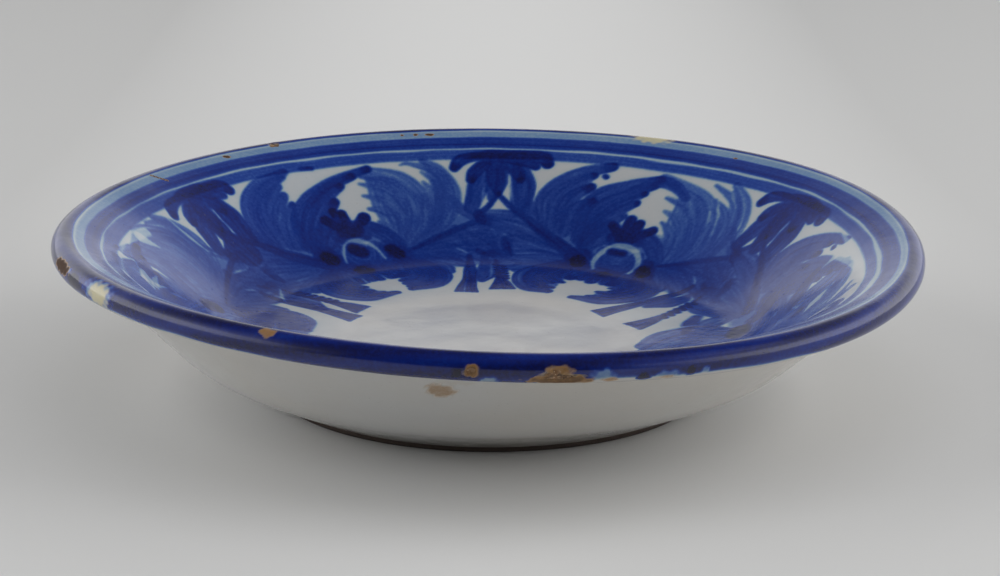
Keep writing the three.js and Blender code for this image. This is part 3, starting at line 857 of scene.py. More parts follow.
FEATHERED_FANS = (
    ((-11, 49, -19.2, 56.5, -19.8, 63.2, -16.4, 68.6, -9.4, 70.4), (1.5, 3.2, 3.4, 3, 1.2), 0.25),
    ((-10.5, 49.5, -17, 56.5, -17.4, 62.6, -14, 66.8, -9.2, 67.6), (1.5, 2.8, 3, 2.4, 0.7), 0.25),
    ((-10, 50, -14.6, 56, -14.8, 60.6, -12.4, 63.6, -10.8, 64.3), (1.5, 2.6, 2.6, 2, 0.7), 0.25),
    ((-9.5, 50.2, -12.4, 56, -12.2, 60.2, -9.8, 62.4, -7.6, 63), (1.5, 2.5, 2.5, 1.8, 0.5), 0.25),
    ((-9, 50.5, -10.2, 55.2, -9.2, 58.2, -5.2, 59.1), (1.5, 2.4, 2.1, 0.6), 0.25),
    ((10, 50, 17.4, 57.5, 17.2, 64.2, 11.4, 70.2, 0.6, 72), (1.5, 3.2, 3.4, 2.8, 1), 0.25),
    ((9.5, 50.5, 15, 57.5, 14.6, 63.3, 10.4, 68.2, 4.8, 69.4), (1.5, 2.8, 3, 2.2, 0.6), 0.25),
    ((9, 51, 12.8, 57.5, 12, 62.3, 8.8, 65.2, 5.4, 65.4), (1.5, 2.6, 2.6, 1.9, 0.5), 0.25),
    ((8.5, 51.5, 10.4, 57, 9.4, 60.2, 7.2, 61.4), (1.5, 2.4, 2.1, 0.6), 0.25),
    ((8, 52, 7.6, 56, 6.2, 58.6, 4.2, 59.6), (1.5, 2.2, 1.8, 0.6), 0.25),
    ((-0.8, 54, -0.6, 59.4), (2, 1.7), 0.25),
    ((-3.2, 54, -4, 58.2), (2, 1.8)),
    ((2, 54, 3.4, 58.6), (2, 1.8)),
    ((-6.2, 53, -7.2, 58.6), (2.2, 2), 0.2),
    ((5.2, 53, 5.6, 58.6), (2.2, 1.9), 0.2),
)

FEATHERED_WASH = (
    ((-1, 18, 2, 22, 3.4, 28, 4, 35), (2.6, 4.8, 5, 4.4)),
    ((-8, 39, 0, 42, 7, 46, 9, 52), (4.6, 5.4, 4.8, 4.4)),
    ((-12, 52, -9, 57, -4, 60, 2, 62), (3, 3.6, 3.4, 3)),
    ((1, 50, -4.4, 58, -4.4, 65, 0, 70.4, 8, 73.6), (3, 3.8, 4.2, 3.8, 3)),
    ((3, 50, 1, 58, 2.6, 64, 8, 68.6, 16, 71.6), (4, 5, 5.2, 4.6, 4)),
    ((6, 50, 10, 58, 17, 63), (4.4, 5.2, 5.2)),
)

FEATHERED_DABS = (
    ((-6.4, 24.5, -4, 29, 0, 33.4, 3.4, 35.4), (1.2, 2.2, 2.8, 1.6)),
    ((-9, 38.4, -6.4, 42, -4.6, 46), (2.4, 3.2, 2.2)),
    ((8.6, 31.6, 10, 33), (1.8, 2), 0.4),
    ((-16.5, 58, -12, 61, -7, 62.8, -3, 64.4), (1.2, 1.8, 1.6, 1)),
)

FEATHERED_KNOT = (
    ((-1.6, 49.6, 1.6, 51), (3, 3)),
)

FEATHERED_SPRAY = (
    Layer(0.8, FEATHERED_OUTER),
    Layer(0.85, FEATHERED_INNER),
    Layer(0.42, FEATHERED_FEATHERS, 0.4),
    Layer(0.8, FEATHERED_STREAKS, wipes=True),
)
FEATHERED_BUD = (
    Layer(0.42, FEATHERED_FILLS + FEATHERED_LOW_FILLS, 0.3),
    *FEATHERED_SPRAY,
    Layer(0.85, FEATHERED_FLESH),
    Layer(0.6, FEATHERED_MIDDLE),
    Layer(1.15, FEATHERED_AURA, soft=MELTED),
    Layer(1.5, FEATHERED_CROWN),
    Layer(0.88, FEATHERED_ARCH, wipes=True),
    Layer(2.1, FEATHERED_FRUIT, soft=MELTED),
    Layer(2.8, FEATHERED_NODES, soft=MELTED),
    Layer(1.0, FEATHERED_FANS),
)
FLOODED_FEATHERED_BUD = (
    Layer(0.42, FEATHERED_FILLS, 0.3),
    *FEATHERED_SPRAY,
    Layer(0.66, FEATHERED_WASH, 0.35),
    Layer(1.3, FEATHERED_DABS, soft=MELTED),
    Layer(2.4, FEATHERED_KNOT, soft=MELTED),
)

# Reserves and dabs in which single repeats differ, placed by the turn round the whole plate
BROAD_RESERVE = (
    ((-206, 15, -197, 15.2, -188, 14.9, -176, 14.7), (0.6, 0.9, 0.6, 0.5)),
)

RESERVES = (
    ((-176.6, 15.4, -171.6, 15.6, -167.2, 16.8), (0.7, 2, 1.7)),
    ((-170.6, 17, -168.6, 22), (2.4, 0.4)),
    ((-158.4, 16, -157.6, 24, -156.6, 30.5), (0.2, 0.8, 0.3)),
    ((-190.6, 25, -187, 23, -184, 21.6), (0.7, 2.4, 0.8)),
    ((-188, 25.8, -184.4, 25.6, -181, 25.9), (1.4, 1.2, 0.2)),
    ((-186.4, 26.6, -183, 29.6), (1.1, 0.2)),
    ((-156, 39, -153.8, 39.2, -151, 39.9), (0.1, 0.5, 0.1)),
    ((-154.6, 55.6, -151.4, 52.4, -148.4, 49.6), (0.1, 0.75, 0.2)),
    ((-12, 13.6, -4, 14.6, 4, 13.4, 14, 11), (0.5, 1.2, 1.5, 1.3)),
    ((-5.8, 16.4, -5, 19.6, -4.6, 23.4), (2, 1.4, 0.2)),
    ((-4.4, 18.4, 0, 16.4, 6, 14.8), (1.4, 1.8, 1)),
    ((7.6, 24, 10.2, 27.2, 13.6, 30), (0.5, 2.1, 0.4)),
    ((-30.8, 51.6, -28.6, 53, -26.4, 55.2), (0.1, 0.7, 0.1)),
    ((-21.4, 58, -19.6, 60.6, -17.6, 64.2), (0.1, 0.8, 0.2)),
    ((-9, 60, -8, 66, -6.6, 73), (0.2, 0.7, 0.9)),
)

FAINT_RESERVES = (
    ((-186, 21.4, -182, 19.6, -177, 22.6), (0.4, 0.4, 0.2)),
    ((-184.6, 30.6, -181.4, 35.6), (0.7, 0.3)),
    ((0.4, 39.6, 1.4, 40.2), (0.5, 0.5)),
    ((4.6, 34.6, 6.4, 33), (0.5, 0.7)),
)

DOTS = (
    ((-189.8, 28.6, -189.2, 28.6), (0.8, 0.8)),
    ((-186.3, 31.6, -185.7, 31.6), (0.8, 0.8)),
    ((9.2, 32, 10, 32), (1, 1)),
)

BRUSH_SLIPS = (
    Layer(0.7, BROAD_RESERVE, wipes=True),
    Layer(0.88, RESERVES, wipes=True),
    Layer(0.6, FAINT_RESERVES, wipes=True),
    Layer(2.2, DOTS),
)


@dataclass(frozen=True)
class Tassels:
    """The pair of tassels with ragged necks that reach into the well under each tulip."""

    left_lean: float = 0.0
    right_lean: float = 0.0
    drop: float = 0.0
    load: float = 1.4
    streak: float = 0.3
    sepal_load: float = 0.95
    rib_load: float = 1.8
    ribs: int = 6
    rib_start: float = 53.0
    rib_step: float = 1.85
    rib_rise: float = 0.9
    rib_widths: Run = (0.5, 0.8)
    reserve: float = 0.6
    lean_start: float = 52.0
    lean_run: float = 20.0

    def hang(self, path: Run, lean: float) -> Run:
        """Lean and lengthen a path, more so towards the well."""
        points = np.reshape(path, (-1, 2))
        share = np.clip((points[:, 1] - self.lean_start) / self.lean_run, 0, 1)[:, None]
        return tuple((points + share * (lean, self.drop)).ravel())

    def strokes(self) -> list[Stroke]:
        """Strokes in the order they are laid."""
        flat = {"load": self.load, "streak": self.streak, "cap": Cap.FLAT}
        left = self.hang((-5.4, 48, -5.8, 57, -6.6, 64, -8.2, 70, -9, 73.4), self.left_lean)
        right = self.hang((1, 50.6, 1.6, 56, 2.4, 62, 3.6, 67, 4.2, 71.2), self.right_lean)
        laid = [
            Stroke((-2, 48.5, -1.2, 55, -1.3, 60, -2.8, 65), (0.8, 2.5, 3.3, 1.2), load=self.sepal_load),
            Stroke(left, (0.8, 1.7, 1.8, 2.6, 3.2), **flat),
            Stroke(right, (0.7, 0.6, 0.8, 2.4, 3.6), **flat),
        ]
        for step in range(self.ribs):
            inset = self.rib_start + self.rib_step * step
            rib = (0.4 + 0.25 * step, inset, 3.2 + 0.3 * step, inset + self.rib_rise)
            laid.append(Stroke(self.hang(rib, self.right_lean), self.rib_widths, load=self.rib_load))
        beside = self.hang((-0.1, 53, 0.1, 58, -0.3, 62.5), self.right_lean)
        laid.append(Stroke(beside, (0.2, 0.55, 0.2), load=self.reserve, wipes=True))
        return laid


# The two pairs of tassels that lean and hang lower, by the turn of their tulip
LEANING_TASSELS = {-150: Tassels(3.3, 0.7, 3.0), -30: Tassels(0.0, 9.4, 4.5)}


# Round the plate: angle, then the insets of the lip colour's end, the dark band's start, the
# reserved line's middle, that line's half width and the middle band's end
BORDER_LINES = (
    (-30.0, 0.0, 2.0, 6.6, 0.8, 9.8),
    (-15.0, 0.3, 2.0, 7.3, 0.75, 11.0),
    (0.0, 0.3, 2.3, 8.0, 0.7, 12.4),
    (15.0, 0.4, 2.7, 8.6, 0.7, 13.0),
    (30.0, 0.6, 3.1, 9.0, 0.68, 13.5),
    (45.0, 0.8, 3.9, 9.8, 0.58, 14.1),
    (60.0, 0.8, 4.0, 9.9, 0.58, 14.1),
    (90.0, 0.8, 4.0, 9.8, 0.54, 14.1),
    (120.0, 0.8, 4.0, 9.5, 0.5, 13.9),
    (150.0, 0.7, 4.0, 9.1, 0.46, 13.8),
    (180.0, 1.5, 4.4, 9.2, 0.5, 13.8),
    (200.0, 2.2, 5.2, 9.6, 0.6, 14.2),
    (215.0, 3.4, 6.6, 10.6, 0.7, 14.6),
)

# Round the plate: angle, and the inset at which the lip's cobalt ends on the outside
LIP_ENDS = (
    (0, -8.5), (217, -8.0), (233, -8.8), (245, -9.7),
    (262, -10.7), (272, -10.8), (277, -9.6), (284, -7.9),
    (296, -7.9), (304, -8.2), (321, -9.4), (335, -8.7),
)


@dataclass(frozen=True)
class Frieze:
    """The whole painting: six repeats of bud and tulip between the border lines and the well."""

    tulip_turns: tuple[int, ...] = (-210, -150, -90, -30, 30, 90)
    closed_tulips: tuple[int, ...] = (-30,)
    flooded_tulips: tuple[int, ...] = (-150,)
    dabbed_turns: tuple[int, ...] = (-180, -120, 60)
    feathered_turns: tuple[int, ...] = (-60, 0, 120)
    flooded_buds: tuple[int, ...] = (-180, 0)
    shift: float = 0.9
    deepest: float = 4.0
    thinning: float = 1.4
    ground: float = 0.42
    ground_start: float = 33.0
    ground_end: float = 54.0
    ground_edge: float = 2.5
    upper_waves: Waves = ((1.2, 12, 0.0),)
    lower_waves: Waves = ((1.2, 18, 0.7),)
    sway_waves: Waves = ((0.18, 3, 1.0), (0.15, 7, 2.0), (0.1, 17, 0.0), (0.08, 41, 0.5))
    line_waves: Waves = ((0.22, 5, 0.3), (0.16, 23, 0.0))
    lip_waves: Waves = ((0.25, 9, 1.0), (0.2, 31, 0.0))
    line_edge: float = 0.4
    line_share: float = 0.87
    band_edge: float = 0.5
    pale_edge: float = 0.8
    seam_offset: float = 2.1
    seam_width: float = 0.8
    seam_load: float = 0.5
    track_height: float = 0.12
    track_rate: float = 5.0
    track_sway: float = 3.0
    pale_border: float = 0.24
    dark_border: float = 1.15
    mid_border: float = 0.85
    hanging_share: float = 0.8
    hanging_room: float = 0.2
    lip_load: float = 2.0
    lip_edge: float = 0.7
    lip_under_edge: float = 1.0
    lip_mottle: float = 0.2
    lip_patches: int = 13
    bleed: float = 0.1
    bleed_cells: int = 5
    bleed_limit: float = 0.3
    bleed_reach: Reach = (10.0, 2.0, 78.0, 8.0)
    tint: float = 0.03

    def lay_ground(self, canvas: Canvas) -> None:
        """Lay the thin wash behind the nodes."""
        inset = canvas.rows[:, None]
        turn = np.radians(canvas.turns)[None]
        upper = self.ground_start + ripple(turn, self.upper_waves)
        lower = self.ground_end + ripple(turn, self.lower_waves)
        shown = smooth((inset - upper) / self.ground_edge) * smooth((lower - inset) / self.ground_edge)
        canvas.ink += self.ground * shown

    def tulip(self, turn: int) -> tuple[Layer, ...]:
        """The tulip that hangs at a turn."""
        if turn in self.flooded_tulips:
            return FLOODED_TULIP
        return CLOSED_TULIP if turn in self.closed_tulips else OPEN_TULIP

    def lay_repeats(self, canvas: Canvas) -> None:
        """Lay the washes, buds, tulips and tassels of all repeats, and then the slips."""
        for turn in self.tulip_turns:
            self.lay_layers(canvas, NODE_WASHES, turn + self.shift)
        for turn in self.dabbed_turns:
            bud = FLOODED_DABBED_BUD if turn in self.flooded_buds else DABBED_BUD
            self.lay_layers(canvas, bud, turn + self.shift)
        for turn in self.feathered_turns:
            bud = FLOODED_FEATHERED_BUD if turn in self.flooded_buds else FEATHERED_BUD
            self.lay_layers(canvas, bud, turn + self.shift)
        for turn in self.tulip_turns:
            self.lay_layers(canvas, self.tulip(turn) + FORKED_STEM, turn + self.shift)
            for stroke in LEANING_TASSELS.get(turn, Tassels()).strokes():
                canvas.lay(stroke, turn + self.shift)
        self.lay_layers(canvas, BRUSH_SLIPS, 0)

    def lay_layers(self, canvas: Canvas, layers: tuple[Layer, ...], turn: float) -> None:
        """Lay a motif's layers at one turn."""
        for layer in layers:
            for stroke in layer.strokes():
                canvas.lay(stroke, turn)

    def lay_borders(self, canvas: Canvas) -> None:
        """Band the rim on the wheel, and let all the cobalt melt a little into the glaze."""
        inset = canvas.rows[:, None]
        turn = np.radians(canvas.turns)[None]
        angles, *columns = zip(*BORDER_LINES)
        lip_start, dark_start, line, half, mid_end = (
            np.interp(-canvas.turns, angles, column, period=360)[None] for column in columns
        )
        sway = ripple(turn, self.sway_waves)
        half = half * (1 + ripple(turn, self.line_waves))
        reserve = smooth((half - np.abs(inset - line - sway)) / self.line_edge + 0.5)
        seam = smooth(1 - np.abs(inset - line + self.seam_offset - 0.5 * sway) / self.seam_width)
        tracks = self.track_height * np.sin(self.track_rate * inset + self.track_sway * sway)
        dark = smooth((inset - dark_start - self.line_edge * sway) / self.band_edge)
        dark = dark * smooth((line - inset) / self.band_edge)
        dark = dark * (self.dark_border + self.seam_load * seam + tracks)
        mid = smooth((inset - line + self.line_edge) / self.band_edge)
        mid = mid * smooth((mid_end + self.line_edge * sway - inset) / self.band_edge)
        motifs = self.deepest * (1 - np.exp(-self.thinning * np.maximum(canvas.ink, 0) / self.deepest))
        hanging = self.hanging_share * motifs * smooth(inset - line)
        motifs = np.where(inset < mid_end + self.hanging_room, hanging, motifs)
        ink = (dark + self.mid_border * mid * (1 + tracks) + motifs) * (1 - self.line_share * reserve)
        pale = smooth((inset - lip_start) / self.pale_edge)
        pale = pale * smooth((dark_start + self.band_edge - inset) / self.pale_edge)
        angles, ends = zip(*LIP_ENDS)
        lip_end = np.interp(-canvas.turns, angles, ends, period=360)[None] + ripple(turn, self.lip_waves)
        lip = smooth((lip_start + 0.5 * sway - inset) / self.lip_edge)
        lip = lip * smooth((inset - lip_end) / self.lip_under_edge)
        lip = lip * (1 + self.lip_mottle * np.sin(self.lip_patches * turn + inset))
        ink = ink + self.pale_border * pale + self.lip_load * lip
        start, start_edge, end, end_edge = self.bleed_reach
        within = smooth((inset - start) / start_edge) * smooth((end - inset) / end_edge)
        bare = ink < self.bleed_limit
        halo = canvas.blurred(np.minimum(ink, 1.0), self.bleed_cells) * bare
        canvas.ink = canvas.blurred(ink, 1) + within * (self.bleed * halo + self.tint * bare)


class Tint(Enum):
    """What a blemish leaves on the glaze."""

    RUST = "rust"
    BARE = "bare"
    COBALT = "cobalt"
    PALE = "pale"


@dataclass(frozen=True)
class Blemish:
    """A stain, pit or knock at one place of the glaze, in degrees and millimetres."""

    tint: Tint
    angle: float
    inset: float
    length: float
    width: float
    strength: float = 1.0
    lean: float = 0.0


# Where each mark lies, its length and width, and where they matter its strength and lean
MARKS = (
    Blemish(Tint.RUST, 149.4, 3.1, 6.0, 0.55, 1.4, 62),
    Blemish(Tint.RUST, 134.0, 2.2, 2.4, 1.2, 1.2, 30),
    Blemish(Tint.RUST, 103.7, 2.3, 1.0, 0.8, 1.1),
    Blemish(Tint.RUST, 99.4, 2.5, 2.4, 1.3, 1.0),
    Blemish(Tint.RUST, 101.6, 2.3, 1.4, 0.9, 1.0),
    Blemish(Tint.RUST, 48.4, 3.6, 1.4, 0.8, 0.8),
    Blemish(Tint.BARE, 64.2, -0.8, 12.5, 6.4, 1.0),
    Blemish(Tint.COBALT, 24.8, -2.0, 2.4, 1.4, 3.4),
    Blemish(Tint.RUST, 199.4, -4.6, 13.0, 3.2, 1.5),
    Blemish(Tint.COBALT, 205.4, -5.6, 11.0, 4.4, 3.4),
    Blemish(Tint.PALE, 203.0, -4.0, 2.0, 1.4, 0.8),
    Blemish(Tint.PALE, 212.9, -5.2, 14.5, 8.6, 0.85),
    Blemish(Tint.BARE, 213.2, -5.4, 9.5, 6.2, 1.0),
    Blemish(Tint.RUST, 242.8, -2.2, 4.4, 3.3, 0.42),
    Blemish(Tint.RUST, 182.2, 57.0, 1.4, 1.0, 0.8),
    Blemish(Tint.RUST, 263.6, -26.0, 8.0, 7.5, 0.36, 20),
    Blemish(Tint.RUST, 265.6, -21.5, 12.0, 3.0, 0.16),
    Blemish(Tint.COBALT, 266.4, -6.6, 2.6, 3.4, 3.2),
    Blemish(Tint.RUST, 268.2, -6.2, 3.2, 3.6, 0.55, 60),
    Blemish(Tint.PALE, 270.2, -9.2, 5.2, 4.0, 0.9, 20),
    Blemish(Tint.RUST, 278.5, -8.4, 16.0, 3.4, 0.62),
    Blemish(Tint.RUST, 278.4, -5.6, 6.6, 2.8, 0.42),
    Blemish(Tint.PALE, 283.6, -7.2, 6.0, 4.4, 0.8),
    Blemish(Tint.RUST, 284.6, -8.2, 5.0, 1.8, 0.4),
    Blemish(Tint.COBALT, 288.6, -7.6, 3.0, 2.6, 3.0),
    Blemish(Tint.PALE, 291.8, -7.8, 7.5, 3.2, 0.8),
    Blemish(Tint.RUST, 291.6, -8.4, 4.6, 1.8, 0.34),
    Blemish(Tint.COBALT, 294.6, -7.0, 2.4, 2.6, 3.4, 40),
    Blemish(Tint.PALE, 296.6, -7.2, 2.6, 2.2, 0.8),
    Blemish(Tint.RUST, 78.2, 85.0, 0.9, 0.9, 0.5),
)


@dataclass(frozen=True)
class Wear:
    """The marks of use, stamped with ragged edges on the rust, bare and cobalt layers."""

    margin_share: float = 0.8
    margin: float = 0.6
    size: float = 1.2
    edge: float = 0.55
    rough: tuple[float, float, float] = (0.12, 1.9, 1.3)
    fine: tuple[float, float, float] = (0.08, 3.3, 2.1)

    def stamp(self, canvas: Canvas, mark: Blemish) -> None:
        """Stamp one mark.

        Args:
            canvas: The canvas to mark.
            mark: The blemish.
        """
        reach = self.margin_share * mark.length + self.margin
        rows = np.flatnonzero(np.abs(canvas.rows - mark.inset) < reach)
        if not len(rows):
            return
        across = (canvas.turns + mark.angle + 180) % 360 - 180
        narrowest = max(LEAST_RADIUS, float(canvas.radii[rows].min()))
        columns = np.flatnonzero(np.abs(across) < math.degrees(reach / narrowest))
        x = across[columns][None] * canvas.radii[rows][:, None] * DEGREE
        y = (canvas.rows[rows] - mark.inset)[:, None]
        lean = math.radians(mark.lean)
        along = x * math.cos(lean) + y * math.sin(lean)
        aside = y * math.cos(lean) - x * math.sin(lean)
        far = np.hypot(along / (mark.length / 2), aside / (mark.width / 2))
        ragged = self.rough[0] * np.sin(self.rough[1] * along + self.rough[2] * aside + mark.angle)
        ragged = ragged + self.fine[0] * np.sin(self.fine[1] * aside - self.fine[2] * along)
        stamp = mark.strength * smooth((self.size - far + ragged) / self.edge)
        layer = {Tint.RUST: canvas.rust, Tint.BARE: canvas.bare}.get(mark.tint, canvas.ink)
        where = np.ix_(rows, columns)
        if mark.tint is Tint.PALE:
            layer[where] *= 1 - stamp
        else:
            layer[where] = np.maximum(layer[where], stamp)


@dataclass(frozen=True)
class LipChip:
    """A knock out of the lip: where it lies, and its length, width and depth in millimetres."""

    angle: float
    around: float
    length: float
    width: float
    depth: float
    twist: float


# The chips: three in a row at the front of the lip, and one on its far edge
CHIPS = (
    LipChip(278.6, -26, 15.0, 2.4, 0.55, 0),
    LipChip(278.2, -4, 7.0, 2.0, 0.4, 4),
    LipChip(267.9, -8, 3.0, 2.2, 0.4, -30),
    LipChip(124.7, 108, 3.4, 1.6, 0.5, -9),
)


def new_object(form: bmesh.types.BMesh, name: str) -> bpy.types.Object:
    """Make a scene object of a finished bmesh.

    Args:
        form: The bmesh, which is freed.
        name: Name of the object and its mesh.

    Returns:
        The object, at the origin.
    """
    mesh = bpy.data.meshes.new(name)
    form.to_mesh(mesh)
    form.free()
    piece = bpy.data.objects.new(name, mesh)
    bpy.context.scene.collection.objects.link(piece)
    return piece


def throw(outline: np.ndarray, columns: int, closed: bool) -> bmesh.types.BMesh:
    """Turn an outline of radius and height pairs round the axis.

    A narrow sector is spun, and then doubled until it closes the turn.

    Args:
        outline: The outline in millimetres.
        columns: How many faces go round, a multiple of the sector count.
        closed: Whether the outline returns to its start and so stays off the axis.

    Returns:
        A closed bmesh in metres with its faces outwards.
    """
    form = bmesh.new()
    ring = [form.verts.new((radius * MM, 0.0, height * MM)) for radius, height in outline]
    ends = ring[1:] + ring[:1] if closed else ring[1:]
    edges = [form.edges.new(pair) for pair in zip(ring, ends)]
    sector = FULL_TURN / 2**DOUBLINGS
    bmesh.ops.spin(
        form,
        geom=ring + edges,
        cent=(0.0, 0.0, 0.0),
        axis=(0.0, 0.0, 1.0),
        dvec=(0.0, 0.0, 0.0),
        angle=sector,
        steps=columns // 2**DOUBLINGS,
        use_merge=False,
        use_duplicate=False,
    )
    for step in range(DOUBLINGS):
        copied = bmesh.ops.duplicate(form, geom=form.verts[:] + form.edges[:] + form.faces[:])
        turned = [part for part in copied["geom"] if isinstance(part, bmesh.types.BMVert)]
        turn = Matrix.Rotation(sector * 2**step, 3, "Z")
        bmesh.ops.rotate(form, cent=(0.0, 0.0, 0.0), matrix=turn, verts=turned)
    bmesh.ops.remove_doubles(form, verts=form.verts, dist=SEAM_GAP)
    bmesh.ops.recalc_face_normals(form, faces=form.faces)
    return form


@dataclass(frozen=True)
class ChipCutter:
    """The lumpy solid that knocks one chip out of the lip."""

    chip: LipChip
    section: Section
    grow: float
    seed: float
    swell: float = 2.6
    fineness: int = 5
    lumps: tuple[tuple[float, float], ...] = ((1.6, 0.22), (4.2, 0.12), (10.0, 0.05))

    def build(self) -> bpy.types.Object:
        """Make the cutter in its place.

        Returns:
            The cutter, which is deleted after its cut.
        """
        form = bmesh.new()
        bmesh.ops.create_icosphere(form, subdivisions=self.fineness, radius=1.0)
        for vert in form.verts:
            lump = 1.0
            for rate, height in self.lumps:
                start = Vector((self.seed, rate, self.chip.angle))
                lump += height * noise.noise(vert.co * rate + start)
            vert.co *= lump
        reach = self.swell * self.chip.depth
        sizes = (reach + self.grow, self.chip.length / 2 + self.grow, self.chip.width + self.grow)
        centre = self.section.lip_centre()
        place = Matrix.Rotation(math.radians(self.chip.angle), 4, "Z")
        place = place @ Matrix.Translation((centre[0], 0, centre[1]))
        place = place @ Matrix.Rotation(math.radians(-self.chip.around), 4, "Y")
        place = place @ Matrix.Translation((self.section.lip_radius + reach - self.chip.depth, 0, 0))
        place = place @ Matrix.Rotation(math.radians(self.chip.twist), 4, "X")
        place = place @ Matrix.Diagonal((*sizes, 1.0))
        bmesh.ops.transform(form, matrix=Matrix.Scale(MM, 4) @ place, verts=form.verts)
        return new_object(form, "chip_cutter")


def knock(piece: bpy.types.Object, cutters: list[ChipCutter]) -> None:
    """Cut chips out of a piece and keep the cut mesh as its own.

    Args:
        piece: The piece to cut.
        cutters: The chips' cutters.
    """
    tools = [cutter.build() for cutter in cutters]
    for tool in tools:
        cut = piece.modifiers.new("knock", "BOOLEAN")
        cut.operation = "DIFFERENCE"
        cut.solver = "MANIFOLD"
        cut.object = tool
    bpy.context.view_layer.update()
    result = piece.evaluated_get(bpy.context.evaluated_depsgraph_get())
    mesh = bpy.data.meshes.new_from_object(result)
    piece.modifiers.clear()
    old = piece.data
    piece.data = mesh
    bpy.data.meshes.remove(old)
    mesh.name = piece.name
    for tool in tools:
        spare = tool.data
        bpy.data.objects.remove(tool)
        bpy.data.meshes.remove(spare)


def coordinates(mesh: bpy.types.Mesh) -> np.ndarray:
    """Read all vertices of a mesh in millimetres."""
    flat = np.empty(len(mesh.vertices) * 3, dtype=np.float32)
    mesh.vertices.foreach_get("co", flat)
    return flat.reshape(-1, 3).astype(np.float64) / MM


def follow_waver(mesh: bpy.types.Mesh, waver: RimWaver) -> None:
    """Lift a turned mesh by the rim's waver."""
    places = coordinates(mesh)
    radius = np.hypot(places[:, 0], places[:, 1])
    angle = np.arctan2(places[:, 1], places[:, 0])
    places[:, 2] += waver.lift(radius, angle)
    mesh.vertices.foreach_set("co", (places * MM).astype(np.float32).ravel())
    mesh.update()


def write_attribute(mesh: bpy.types.Mesh, name: str, values: np.ndarray) -> None:
    """Store one number for each vertex of a mesh."""
    layer = mesh.attributes.new(name, "FLOAT", "POINT")
    layer.data.foreach_set("value", values.astype(np.float32))


def shade(piece: bpy.types.Object, crease: float) -> None:
    """Shade a piece smooth, with creases sharper than an angle in degrees kept."""
    piece.data.shade_smooth()
    piece.data.set_sharp_from_angle(angle=math.radians(crease))


# First and last inset and the spacing of the clay's rings: outside, round the lip, and inside
RING_RUNS = ((-80.0, -11.5, 2.5), (-11.5, 1.6, 0.5), (4.0, 130.0, 2.5))
RING_ROOM = 0.05


def knots(outer: float, inner: float) -> np.ndarray:
    """Insets at which the clay and the coat's back have their rings, close together at the lip.

    Args:
        outer: First inset.
        inner: Last inset.

    Returns:
        The insets from outer to inner.
    """
    shared = np.concatenate([np.arange(*run) for run in RING_RUNS])
    between = shared[(shared > outer + RING_ROOM) & (shared < inner - RING_ROOM)]
    return np.concatenate([[outer], between, [inner]])


@dataclass(frozen=True)
class GlazeRing:
    """One band of the glaze coat, from one inset to another, with its mesh fineness."""

    name: str
    outer: float
    inner: float
    columns: int
    row: float
    chipped: bool = False
    top: float = 0.48
    bed: float = 0.01
    chip_grow: float = 0.22
    chip_seed: float = 3.1
    search_margin: float = 1.0
    search_step: float = 0.12
    batch: int = 20000
    skin: float = 0.08
    soak: float = 0.12

    def outline(self, run: FaceRun) -> tuple[np.ndarray, bool]:
        """Outline of the band's cross-section.

        Args:
            run: The clay's face.

        Returns:
            The outline, and whether it closes on itself.
        """
        middle = float(run.inset[0])
        foot = float(run.inset[-1])
        outer = max(self.outer, foot)
        inner = min(self.inner, middle)
        count = max(2, round((inner - outer) / self.row) + 1)
        face = run.offset(np.linspace(outer, inner, count), self.top)
        back = run.offset(knots(outer, inner), self.bed)
        closed = inner < middle
        if closed:
            return np.concatenate([face, back[::-1]]), True
        face[-1, 0] = 0.0
        back[-1, 0] = 0.0
        return np.concatenate([face[::-1], back]), False

    def build(self, run: FaceRun, section: Section) -> bpy.types.Object:
        """Make the band, with its chips but before the rim's waver.

        Args:
            run: The clay's face.
            section: The section's sizes.

        Returns:
            The band.
        """
        outline, closed = self.outline(run)
        piece = new_object(throw(outline, self.columns, closed), self.name)
        if self.chipped:
            cut = (section, self.chip_grow, self.chip_seed)
            knock(piece, [ChipCutter(chip, *cut) for chip in CHIPS])
        return piece

    def paint(self, piece: bpy.types.Object, run: FaceRun, canvas: Canvas) -> None:
        """Carry the canvas's layers to the band's vertices.

        Args:
            piece: The band, before the rim's waver.
            run: The clay's face.
            canvas: The painted canvas.
        """
        places = coordinates(piece.data)
        radius = np.hypot(places[:, 0], places[:, 1])
        turn = -np.degrees(np.arctan2(places[:, 1], places[:, 0]))
        first = max(self.outer, float(run.inset[-1])) - self.search_margin
        fine = np.arange(first, self.inner + self.search_margin, self.search_step)
        line = run.offset(fine, self.top).astype(np.float32)
        flat = np.stack([radius, places[:, 2]], axis=-1).astype(np.float32)
        inset = np.empty(len(flat))
        depth = np.empty(len(flat))
        for start in range(0, len(flat), self.batch):
            batch = slice(start, start + self.batch)
            gap = np.hypot(*(flat[batch, None, axis] - line[None, :, axis] for axis in range(2)))
            near = gap.argmin(axis=1)
            inset[batch] = fine[near]
            depth[batch] = gap[np.arange(len(near)), near]
        surface = np.exp(-np.maximum(depth - self.skin, 0) / self.soak)
        ink, rust, bare = (
            canvas.sample(layer, turn, inset) for layer in (canvas.ink, canvas.rust, canvas.bare)
        )
        for layer, values in zip(LAYERS, (ink * surface, rust, bare, 1 - surface)):
            write_attribute(piece.data, layer, values)


